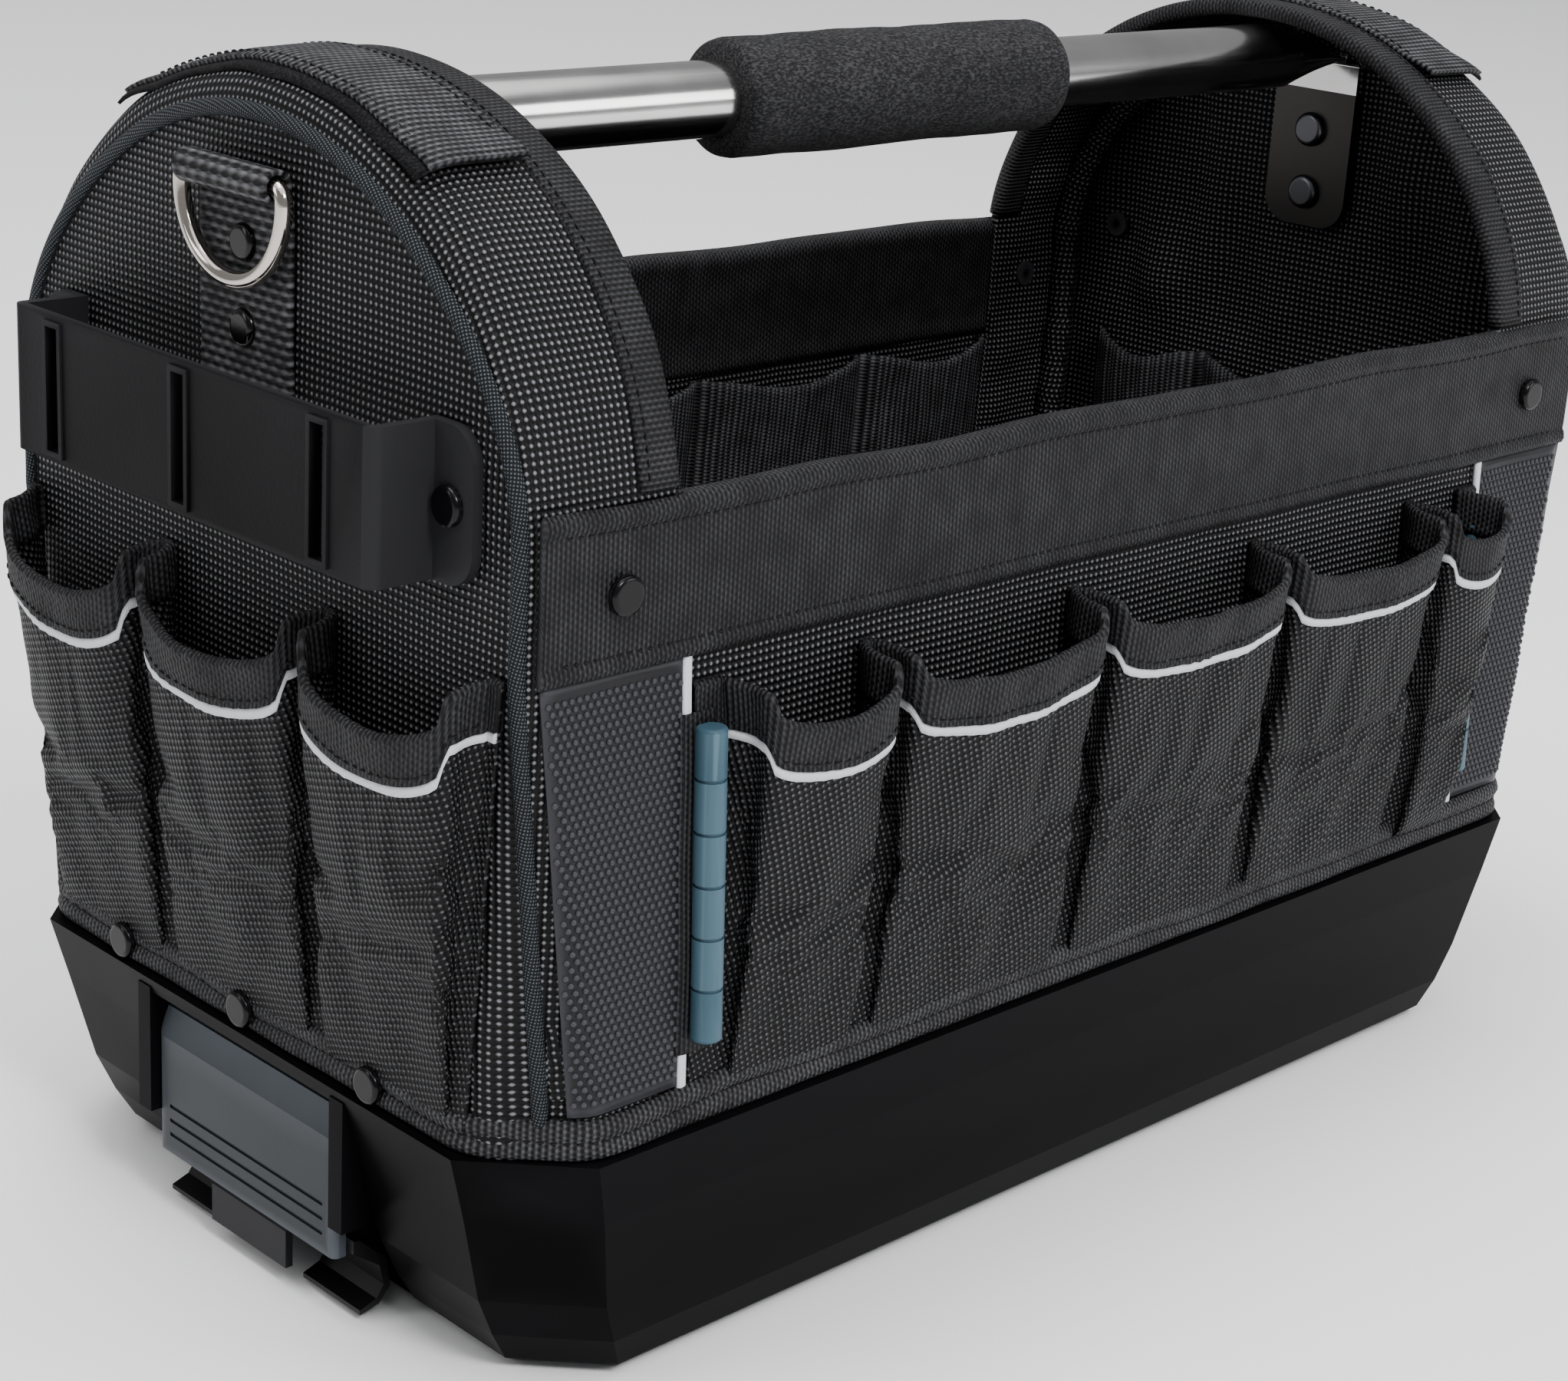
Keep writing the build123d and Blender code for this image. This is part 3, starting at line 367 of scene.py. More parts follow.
def weave_material(name, dark, thread, pitch, angle, painted_glint, depth):
    """Coarse synthetic basket weave: rounded crossings, each with a pale glint painted into its colour, patchy
    in strength.
    """
    mat, tree, shader = start_material(name, dark, 0.5, specular=0.15)
    u, v = cloth_axes(tree, angle)
    bent = noise_of(tree, object_coords(tree), 60.0)
    u = math_node(tree, "ADD", u, math_node(tree, "MULTIPLY", bent, 0.8))
    wave_u = math_node(tree, "SINE", math_node(tree, "MULTIPLY", u, 2 * math.pi / pitch))
    wave_v = math_node(tree, "SINE", math_node(tree, "MULTIPLY", v, 2 * math.pi / pitch))
    crossing = math_node(tree, "MULTIPLY", wave_u, wave_v)
    height = math_node(tree, "MULTIPLY_ADD", crossing, 0.5, 0.5)
    # painted highlight: the tops of the crossings get a paler colour that stands for glints of light on the
    # threads
    glint_speck = noise_of(tree, object_coords(tree), 900.0, 1.0)
    patchy = noise_of(tree, object_coords(tree), 25.0, 3.0)
    painted_glint_level = math_node(tree, "MULTIPLY_ADD", glint_speck, 0.35, painted_glint)
    painted_glint_level = math_node(tree, "MULTIPLY_ADD", patchy, 0.30, painted_glint_level)
    painted_glint_level = math_node(tree, "MULTIPLY", math_node(tree, "POWER", height, 2.4), painted_glint_level)
    color = color_ramp(tree, painted_glint_level, [(0.0, dark), (0.34, dark), (0.80, thread)])
    tree.links.new(color, shader.inputs["Base Color"])
    rough = math_node(tree, "MULTIPLY_ADD", height, -0.22, 0.62)
    tree.links.new(rough, shader.inputs["Roughness"])
    add_bump(tree, shader, height, 1.0, depth)
    return mat


def webbing_material(name, dark, thread, rib, pick, depth):
    """Ribbed webbing: ribs across u, with a fine pick along each rib."""
    mat, tree, shader = start_material(name, dark, 0.6, specular=0.16)
    u, v = cloth_axes(tree, 0)
    rib_wave = math_node(tree, "SINE", math_node(tree, "MULTIPLY", u, 2 * math.pi / rib))
    row = math_node(tree, "MULTIPLY", math_node(tree, "FLOOR", math_node(tree, "DIVIDE", u, rib)), pick / 2)
    picks = math_node(tree, "ADD", v, row)
    pick_wave = math_node(tree, "SINE", math_node(tree, "MULTIPLY", picks, 2 * math.pi / pick))
    height = math_node(tree, "MULTIPLY_ADD", rib_wave, 0.32, 0.5)
    height = math_node(tree, "ADD", height, math_node(tree, "MULTIPLY", pick_wave, 0.18))
    patchy = noise_of(tree, object_coords(tree), 120.0, 3.0)
    tint = math_node(tree, "MULTIPLY", height, math_node(tree, "ADD", patchy, 0.35))
    color = color_ramp(tree, tint, [(0.25, dark), (0.95, thread)])
    tree.links.new(color, shader.inputs["Base Color"])
    add_bump(tree, shader, height, 1.0, depth)
    return mat


def plastic_material(name, color, rough, grain, grain_depth, worn, specular=0.25):
    """Moulded plastic: fine grain, uneven gloss and slightly paler, worn edges."""
    mat, tree, shader = start_material(name, color, rough, specular=specular)
    place = object_coords(tree)
    fine = noise_of(tree, place, grain, 3.0)
    broad = noise_of(tree, place, 22.0, 4.0, 0.6)
    edge = add_node(tree, "ShaderNodeNewGeometry").outputs["Pointiness"]
    edge = math_node(tree, "MULTIPLY", math_node(tree, "SUBTRACT", edge, 0.52), 9.0)
    edge = add_node(tree, "ShaderNodeClamp", {0: edge}).outputs[0]
    tint = math_node(tree, "ADD", math_node(tree, "MULTIPLY", broad, 0.35), edge)
    shade = color_ramp(tree, tint, [(0.0, color), (0.25, color), (1.0, worn)])
    tree.links.new(shade, shader.inputs["Base Color"])
    gloss = math_node(tree, "MULTIPLY_ADD", broad, 0.16, rough - 0.08)
    tree.links.new(gloss, shader.inputs["Roughness"])
    add_bump(tree, shader, fine, 0.5, grain_depth)
    return mat


def metal_material(name, color, rough, scratch_axis, scratch=0.08):
    """Metal with faint lengthwise polishing marks."""
    mat, tree, shader = start_material(name, color, rough, metallic=1.0)
    stretch = [900.0, 900.0, 900.0]
    stretch[scratch_axis] = 12.0
    place = add_node(tree, "ShaderNodeMapping", {"Vector": object_coords(tree), "Scale": stretch}).outputs[0]
    marks = noise_of(tree, place, 1.0, 3.0)
    smear = noise_of(tree, object_coords(tree), 30.0, 3.0)
    gloss = math_node(tree, "MULTIPLY_ADD", marks, scratch, rough - scratch / 2)
    gloss = math_node(tree, "MULTIPLY_ADD", smear, scratch, gloss)
    tree.links.new(gloss, shader.inputs["Roughness"])
    darker = tuple(0.82 * c for c in color)
    tree.links.new(color_ramp(tree, smear, [(0.3, darker), (0.7, color)]), shader.inputs["Base Color"])
    add_bump(tree, shader, marks, 0.12, 0.05)
    return mat


def foam_material(name, dark, pale):
    """Dense foam: fine pits and short pale scratches."""
    mat, tree, shader = start_material(name, dark, 0.85, sheen=0.02, specular=0.1)
    place = object_coords(tree)
    pits = noise_of(tree, place, 1500.0, 4.0, 0.7)
    stretched = add_node(
        tree, "ShaderNodeMapping", {"Vector": place, "Scale": (700, 1600, 1600), "Rotation": (0.3, 0.2, 0.5)}
    ).outputs[0]
    hairs = noise_of(tree, stretched, 1.0, 2.0)
    broad = noise_of(tree, place, 60.0, 3.0)
    thin = math_node(tree, "POWER", hairs, 3.0)
    tint = math_node(tree, "MULTIPLY", thin, math_node(tree, "ADD", broad, 1.0))
    color = color_ramp(tree, tint, [(0.08, dark), (0.45, pale)])
    tree.links.new(color, shader.inputs["Base Color"])
    add_bump(tree, shader, pits, 0.8, 0.5)
    return mat


BLACK = (0.0022, 0.0022, 0.0026)
# in each weave below, the last but one number sets how pale the painted glints on the crossings are
WEAVE = weave_material("ballistic_weave", BLACK, (0.165, 0.165, 0.178), 3.0, 45, 0.62, 0.8)
WEAVE_FINE = weave_material("pocket_weave", BLACK, (0.082, 0.082, 0.089), 2.6, 28, 0.60, 0.65)
LINING = weave_material("lining_weave", BLACK, (0.15, 0.15, 0.16), 3.0, 45, 0.58, 0.6)
WEBBING = webbing_material("webbing", (0.0024, 0.0024, 0.0028), (0.038, 0.038, 0.042), 1.5, 2.0, 0.5)
COARSE_WEBBING = webbing_material("coarse_webbing", BLACK, (0.105, 0.105, 0.113), 2.1, 2.2, 0.6)
STRAP = webbing_material("strap_webbing", (0.004, 0.004, 0.0045), (0.12, 0.12, 0.128), 2.5, 4.6, 0.8)
HEM = webbing_material("hem_webbing", BLACK, (0.070, 0.070, 0.076), 1.7, 1.7, 0.45)
ELASTIC = webbing_material("ribbed_elastic", BLACK, (0.075, 0.075, 0.082), 2.1, 1.3, 0.6)
PIPING = weave_material("corner_piping", (0.003, 0.004, 0.005), (0.075, 0.088, 0.100), 1.3, 30, 0.9, 0.35)
THREAD = weave_material("thread", (0.003, 0.003, 0.0035), (0.018, 0.018, 0.020), 0.5, 35, 0.6, 0.1)
FUZZ = foam_material("hook_and_loop", (0.0020, 0.0020, 0.0023), (0.016, 0.016, 0.018))
REFLECT = weave_material("reflective_tape", (0.52, 0.53, 0.55), (0.80, 0.81, 0.83), 0.5, 45, 1.2, 0.06)
# colour, roughness, grain scale, grain depth, worn colour and, where it isn't the usual one, specular level
PLASTICS = {
    "studded_rubber": ((0.0065, 0.0065, 0.0080), 0.40, 900, 0.08, (0.040, 0.040, 0.046), 0.18),
    "tub_plastic": ((0.0010, 0.0010, 0.0012), 0.33, 1400, 0.03, (0.005, 0.005, 0.006), 0.025),
    "bracket_plastic": ((0.0020, 0.0020, 0.0023), 0.5, 700, 0.16, (0.020, 0.020, 0.022), 0.05),
    "latch_plastic": ((0.0125, 0.017, 0.022), 0.42, 1100, 0.05, (0.060, 0.070, 0.082)),
    "clip_plastic": ((0.0025, 0.0025, 0.003), 0.34, 1100, 0.05, (0.016, 0.016, 0.018), 0.1),
    "bar_plastic": ((0.036, 0.078, 0.108), 0.45, 800, 0.06, (0.08, 0.14, 0.18), 0.2),
    "cap_plastic": ((0.002, 0.002, 0.0023), 0.16, 900, 0.02, (0.015, 0.015, 0.016)),
    "rivet_enamel": ((0.002, 0.002, 0.0026), 0.22, 900, 0.02, (0.03, 0.03, 0.033), 0.18),
}
STUDS, TUB, BRACKET, LATCH, CLIP, BAR, CAP, RIVET = [
    plastic_material(name, *settings) for name, settings in PLASTICS.items()
]
CHROME = metal_material("chrome", (0.62, 0.61, 0.60), 0.12, 0)
PLATED = metal_material("ring_chrome", (0.58, 0.53, 0.48), 0.09, 1)
SCREW = metal_material("screw_steel", (0.10, 0.10, 0.11), 0.30, 0)
PIN = metal_material("pin_steel", (0.45, 0.45, 0.46), 0.30, 1)
FOAM = foam_material("grip_foam", (0.009, 0.009, 0.010), (0.048, 0.048, 0.050))


def split_by_height(mat, height, color, rough, beyond=None):
    """Another colour and gloss below a height, and beyond a distance to either side if one is given."""
    tree = mat.node_tree
    shader = tree.nodes["Principled BSDF"]
    axes = add_node(tree, "ShaderNodeSeparateXYZ", {0: object_coords(tree)}).outputs
    share = math_node(tree, "LESS_THAN", axes["Z"], height * MM)
    if beyond:
        outside = math_node(tree, "GREATER_THAN", math_node(tree, "ABSOLUTE", axes["Y"]), beyond * MM)
        share = math_node(tree, "MAXIMUM", share, outside)
    for socket, other in (("Base Color", (*color, 1)), ("Roughness", (rough, rough, rough, 1))):
        main = shader.inputs[socket].links[0].from_socket
        mix = add_node(tree, "ShaderNodeMix", data_type="RGBA")
        mix.inputs["B"].default_value = other
        tree.links.new(share, mix.inputs["Factor"])
        tree.links.new(main, mix.inputs["A"])
        tree.links.new(mix.outputs["Result"], shader.inputs[socket])


# the handle's chrome is painted dark gunmetal below a height, a painted reflection of the black fabric round its
# flattened ends, and the hooks below a latch plate are black
split_by_height(CHROME, HANDLE_Z - 13.0, (0.050, 0.047, 0.045), 0.38)
split_by_height(LATCH, 19.9, (0.0025, 0.0025, 0.003), 0.34, 42.7)

KEPT_NODES = {
    "base_tub": TUB,
    "hem_rivets": RIVET,
    "band_rivets": RIVET,
    "bracket_rivets": RIVET,
    "screw_caps": CAP,
    "handle_screws": SCREW,
    "handle_tube": CHROME,
    "latch_pins": PIN,
}
for end in ("left", "right"):
    KEPT_NODES[f"slotted_bracket_{end}"] = BRACKET
    KEPT_NODES[f"d_ring_{end}"] = PLATED
    KEPT_NODES[f"latch_plate_{end}"] = LATCH
    KEPT_NODES[f"latch_clip_{end}"] = CLIP
    for side in ("front", "back"):
        KEPT_NODES[f"edge_bar_{end}_{side}"] = BAR
for name, mat in KEPT_NODES.items():
    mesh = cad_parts[name].data
    mesh.materials.clear()
    mesh.materials.append(mat)

# ---- hood outline -------------------------------------------------------------------------------------
# names, and the axis that each is mirrored over
ENDS = (("left", ""), ("right", "x"))
SIDES = (("front", ""), ("back", "y"))
STEP = 2.6


def hood_outline():
    """Points (y, z) round a hood, from the front hem over the arch to the back hem, and outward normals."""
    start = [(-HEM_Y, RIM_Z), (-HEM_Y, HEM_TOP), (-SIDE_Y, BAND_LOW), (-SIDE_Y, SPRING_Z)]
    angles = np.linspace(math.pi, 0, 160)
    arch = [(SIDE_Y * math.cos(a), SPRING_Z + (ARCH_TOP - SPRING_Z) * math.sin(a)) for a in angles]
    finish = [(-y, z) for y, z in reversed(start)]
    line = smooth_line(resample(start + arch[1:-1] + finish, STEP), 3)
    tangent = unit(np.gradient(line, axis=0))
    return line, np.stack([-tangent[:, 1], tangent[:, 0]], 1)


LINE, LINE_OUT = hood_outline()
LINE_S = arc_lengths(LINE)
LINE_Z = LINE[:, 1]
CORNER_X = np.where(
    LINE_Z < BAND_LOW,
    ramp(LINE_Z, HEM_TOP, BAND_LOW, HEM_CORNER_X, SHOULDER_CORNER_X),
    ramp(LINE_Z, BAND_LOW, 250, SHOULDER_CORNER_X, ROLL_X),
)
PIPE_X = ramp(LINE_Z, 88, BAND_LOW, 215.8, 227.4)
PIPE_IN = np.where(
    LINE_Z < BAND_LOW, ramp(LINE_Z, 88, BAND_LOW, 8.4, 3.2), 3.2 + 9.0 * ease((LINE_Z - 240) / 85)
)
ROLL_CORNER = ramp(LINE_Z, HEM_TOP, BAND_LOW, HEM_CORNER_X + 4.5, 227.5)


def hood_point(along_x, inset, index=slice(None)):
    """Points at a distance along the bag and an inset from the outline, for the left hood."""
    flat = LINE[index] - LINE_OUT[index] * np.asarray(inset)[..., None]
    return np.concatenate([-np.broadcast_to(along_x, flat.shape[:-1])[..., None], flat], axis=-1)


def gusset_grid():
    """Outer face of the left gusset: a flat run, then the turned corner down to the piping."""
    columns = []
    for t in np.linspace(0, 1, 17):
        columns.append(hood_point(HOOD_IN + (CORNER_X - HOOD_IN) * t, np.zeros(len(LINE))))
    for t in np.linspace(0, 1, 13)[1:]:
        x = (1 - t) ** 2 * CORNER_X + 2 * t * (1 - t) * ROLL_CORNER + t * t * PIPE_X
        columns.append(hood_point(x, t * t * PIPE_IN))
    return np.stack(columns, axis=1)


GUSSET = gusset_grid()
GUSSET_W = np.concatenate(
    [np.zeros((len(LINE), 1)), np.cumsum(np.linalg.norm(np.diff(GUSSET, axis=1), axis=2), axis=1)], axis=1
)
GUSSET_N = grid_normals(GUSSET)
if (GUSSET_N * (GUSSET - np.array((-150, 0, 200)))).sum() < 0:
    GUSSET_N = -GUSSET_N
GUSSET_CALM = ease(GUSSET_W / 12) * ease((GUSSET_W[:, -1:] - GUSSET_W) / 8)
GUSSET = GUSSET + GUSSET_N * (0.35 * folds(LINE_S[:, None], GUSSET_W, 55, 11) * GUSSET_CALM)[..., None]


def on_gusset(rows, widths, lift):
    """Points on the gusset at given stations (indices), at distances from its open edge, raised by lift.
    Negative distances lie on the long side beside the hood."""
    made = np.zeros((len(rows), len(widths[0]), 3))
    for i, row in enumerate(rows):
        for k in range(3):
            point = np.interp(widths[i], GUSSET_W[row], GUSSET[row, :, k])
            normal = np.interp(widths[i], GUSSET_W[row], GUSSET_N[row, :, k])
            made[i, :, k] = point + normal * lift[i]
        made[i, :, 0] += np.maximum(0.0, -widths[i])
    return made


def build_gussets():
    uv = uv_grid(LINE_S[:, None], GUSSET_W)
    for number, (end, mirror) in enumerate(ENDS):
        sag = 0.6 + 0.6 * folds(LINE_S[:, None], GUSSET_W, 22, 31 + number)
        inner = GUSSET - GUSSET_N * (CLOTH + np.maximum(sag, 0) * ease(GUSSET_W / 10))[..., None]
        mesh = shell_mesh(GUSSET, inner, uv)
        piece = add_piece(f"hood_gusset_{end}", mesh, WEAVE, [f"gusset_{end}"], mirror)


# ---- end panels: crowned fabric inside the piping, lining with upright wrinkles ------------------------
PIPE_PATH = hood_point(PIPE_X, PIPE_IN)


def panel_points(rings=52):
    """Rings of points (y, z) from the seam in, how far each is from the seam, and its nearest seam point."""
    seam = PIPE_PATH[:, 1:]
    bottom = np.stack([np.linspace(seam[-1, 0], seam[0, 0], 72)[1:-1], np.full(70, RIM_Z)], 1)
    loop = np.concatenate([seam, bottom])
    centre = np.array((0.0, 190.0))
    shares = 1 - np.linspace(0, 1, rings) ** 1.15 * 0.9995
    points = centre + (loop - centre)[None] * shares[:, None, None]
    distance = np.zeros(points.shape[:2])
    nearest = np.zeros(points.shape[:2], int)
    for r in range(rings):
        gaps = np.linalg.norm(points[r][:, None] - seam[None], axis=2)
        distance[r] = gaps.min(1)
        nearest[r] = gaps.argmin(1)
    return points, distance, nearest


def build_end_panels():
    points, distance, nearest = panel_points()
    y, z = points[..., 0], points[..., 1]
    seam_x = PIPE_X[nearest]
    reach = np.where(z < BAND_LOW, ramp(z, 88, BAND_LOW, 14, 9), ramp(z, BAND_LOW, 290, 9, 20))
    swell = 1 - (1 - np.clip(distance / reach, 0, 1)) ** 2
    crown = 0.7 * ease(distance / 70)
    face = seam_x + (END_OUT - seam_x) * swell + crown
    face = face + 0.35 * folds(y, z, 60, 5) * ease(distance / 15)
    outer = np.stack([-face, y, z], -1)
    near_plate = ease(np.hypot(y / 24, (z - 290) / 44) - 0.8)
    for number, (end, mirror) in enumerate(ENDS):
        upright = folds(y, z, 24, 41 + number, stretch=4.0) * ease((z - 205) / 25) * ease(distance / 12)
        inner = np.stack([-face + CLOTH + 3.2 * np.maximum(upright, -0.3) * near_plate, y, z], -1)
        mesh = shell_mesh(outer, inner, points, wrap=True)
        piece = add_piece(f"hood_end_{end}", mesh, WEAVE, [f"end_panel_{end}"], mirror)


def build_piping_and_sleeves():
    path = PIPE_PATH[LINE_Z > HEM_TOP - 3]
    shown = LINE_Z > HEM_TOP + 4
    sleeve = hood_point(ROD_X, 8.0 + 4.0 * ease((LINE_Z - 240) / 85))[shown]
    sleeve[:, 0] = -np.minimum(ROD_X, PIPE_X[shown] - 6.5)
    along = arc_lengths(sleeve)
    for number, (end, mirror) in enumerate(ENDS):
        piping = tube_mesh(path, PIPING_R)
        add_piece(f"corner_piping_{end}", piping, PIPING, [f"hood_piping_{end}"], mirror)
        ruche = 0.28 * np.sin(along * 2 * math.pi / 9.0 + 2 * folds(along, 0, 60, 3 + number))
        ruche = ruche * (0.35 + ease((sleeve[:, 2] - 240) / 40)) + 0.25 * folds(along, 0, 17, 23 + number)
        tube = tube_mesh(sleeve, 5.2 + ruche)
        add_piece(f"rod_sleeve_{end}", tube, LINING, [f"frame_rod_{end}"], mirror)


# ---- webbing on the hoods -----------------------------------------------------------------------------


def build_hood_bindings():
    """Webbing folded over the open edge of each hood, given as (distance from the edge, lift)."""
    rows = np.nonzero(LINE_Z > BAND_TOP - 1.0)[0]
    outside = [(11.6, 0.05), (11.4, 0.85), (9.0, 1.15), (5.0, 1.2), (1.0, 1.25)]
    edge = [(-0.8, 0.7), (-1.5, -0.8), (-1.5, -2.4), (-0.8, -4.0)]
    inside = [(1.0, -4.6), (5.0, -4.5), (9.0, -4.4), (11.4, -4.1), (11.4, -3.2)]
    profile = outside + edge + inside
    grid = np.zeros((len(rows), len(profile), 3))
    for k, (width, lift) in enumerate(profile):
        wavy = 0.25 * folds(LINE_S[rows], k, 40, 8)
        grid[:, k] = hood_point(HOOD_IN + width + wavy, np.full(len(rows), -lift), rows)
    mesh = loop_mesh(grid, uv_grid(LINE_S[rows][:, None], arc_lengths(profile)))
    stitch_path = hood_point(np.full(len(rows), HOOD_IN + 9.2), np.full(len(rows), -1.15), rows)
    normal = np.concatenate([np.zeros((len(rows), 1)), LINE_OUT[rows]], 1)
    for end, mirror in ENDS:
        add_piece(f"hood_edge_webbing_{end}", mesh, WEBBING, [f"hood_binding_{end}"], mirror)
        add_stitches(f"hood_edge_stitching_{end}", [(stitch_path, normal)], mirror)


def build_tabs():
    """Webbing tab over each arch, on a fuzzy strip that shows along its outer edge."""
    rows = np.nonzero(LINE_Z > low("strap_tab_left", 2) - 1)[0]
    along = LINE_S[rows] - LINE_S[rows[0]]
    flick = 2.4 * ease(1 - np.minimum(along, along[-1] - along) / 16.0)
    for name, start, stop, lift, thick, mat, rough in (
        ("tab_webbing", 11.9, 40.5, 2.0, 1.5, COARSE_WEBBING, 0.25),
        ("tab_backing", 13.2, 44.0, 0.9, 0.9, FUZZ, 0.7),
    ):
        edge = stop + rough * folds(along, 0, 26, 17)
        inner_edge = start + 0.3 * rough * folds(along, 0, 31, 19)
        widths = np.linspace(inner_edge, edge, 16, axis=1)
        wavy = 0.3 * folds(along[:, None], widths, 38, 29)
        shift = GUSSET_N[rows][:, 8][:, None] * wavy[..., None]
        outer = on_gusset(rows, widths, lift + flick) + shift
        inner = on_gusset(rows, widths, lift + flick - thick) + shift
        mesh = shell_mesh(outer, inner, uv_grid(along[:, None], widths))
        for end, mirror in ENDS:
            stands_for = [f"strap_tab_{end}"] if name == "tab_webbing" else []
            add_piece(f"{name}_{end}", mesh, mat, stands_for, mirror)
    inside = slice(4, -4)
    lines = []
    for width, column in ((14.2, 8), (38.0, 20)):
        path = on_gusset(rows, np.full((len(rows), 1), width), 2.0 + flick)[:, 0]
        lines.append((path[inside], GUSSET_N[rows][inside, column]))
    for end, mirror in ENDS:
        add_stitches(f"tab_stitching_{end}", lines, mirror)


# ---- studded corner patches ---------------------------------------------------------------------------
PATCH_OVER = 4.2
STUD_PITCH = 2.45


def stud_mesh(centre, normal, tangent, side):
    """One round stud, tapered to a low point."""
    cosines, sines = circle(8)
    ring = tangent * cosines + side * sines
    ends = [centre + normal * 0.72, centre - normal * 0.3]
    verts = np.concatenate([centre + 0.95 * ring, centre + 0.72 * ring + normal * 0.48, ends])
    faces = quads(2, 8, 0, True)
    for k in range(8):
        faces += [(8 + k, 8 + (k + 1) % 8, 16), ((k + 1) % 8, k, 17)]
    return verts, faces, verts[:, :2]


def build_patches():
    rows = np.nonzero((LINE_Z > HEM_TOP - 1) & (LINE_Z < BAND_LOW + 1) & (LINE[:, 0] < 0))[0]
    reach = CORNER_X - HOOD_IN + ramp(LINE_Z, HEM_TOP, BAND_LOW, 8.5, 3.5)
    widths = np.array([np.linspace(-PATCH_OVER, r, 20) for r in reach[rows]])
    outer = on_gusset(rows, widths, np.full(len(rows), 1.25))
    inner = on_gusset(rows, widths, np.full(len(rows), 0.1))
    parts = [shell_mesh(outer, inner, uv_grid(LINE_S[rows][:, None], widths))]
    stations = np.arange(LINE_S[rows[0] + 1] + 1.0, LINE_S[rows[-1] - 1], STUD_PITCH * 0.87)
    for count, station in enumerate(stations):
        row = np.interp(station, LINE_S, np.arange(len(LINE)))
        near = int(row)
        part = row - near
        start = -PATCH_OVER + 1.6 + (STUD_PITCH / 2 if count % 2 else 0)
        places = np.arange(start, reach[near] - 1.0, STUD_PITCH)
        here = on_gusset([near, near + 1], [places, places], [1.2, 1.2])
        up = on_gusset([near, near + 1], [places, places], [2.2, 2.2]) - here
        centre = here[0] * (1 - part) + here[1] * part
        normal = unit(up[0] * (1 - part) + up[1] * part)
        tangent = unit(here[1] - here[0])
        parts += [stud_mesh(*stud) for stud in zip(centre, normal, tangent, np.cross(normal, tangent))]
    mesh = join_meshes(parts)
    for end, mirror_x in ENDS:
        for side, mirror_y in SIDES:
            name = f"corner_patch_{end}_{side}"
            add_piece(f"studded_{name}", mesh, STUDS, [name], mirror_x + mirror_y)


# ---- long sides ---------------------------------------------------------------------------------------


def build_side_panels():
    half = HOOD_IN + 1.5
    top = BAND_TOP - 3
    x, z = np.meshgrid(np.linspace(-half, half, 130), np.linspace(RIM_Z, top, 62))
    calm = ease((HOOD_IN - np.abs(x)) / 25) * ease((z - 90) / 30) * ease((215 - z) / 14)
    for number, (side, mirror) in enumerate(SIDES):
        face = side_y(z) + 0.7 * folds(x, z, 70, 51 + number) * calm
        sag = 1.1 * np.maximum(folds(x, z, 34, 61 + number, stretch=2.0), -0.2) * calm
        inner = np.stack([x, -face + CLOTH + sag, z], -1)
        mesh = shell_mesh(np.stack([x, -face, z], -1), inner, uv_grid(x, z))
        piece = add_piece(f"long_side_{side}", mesh, WEAVE, [f"side_panel_{side}"], mirror)


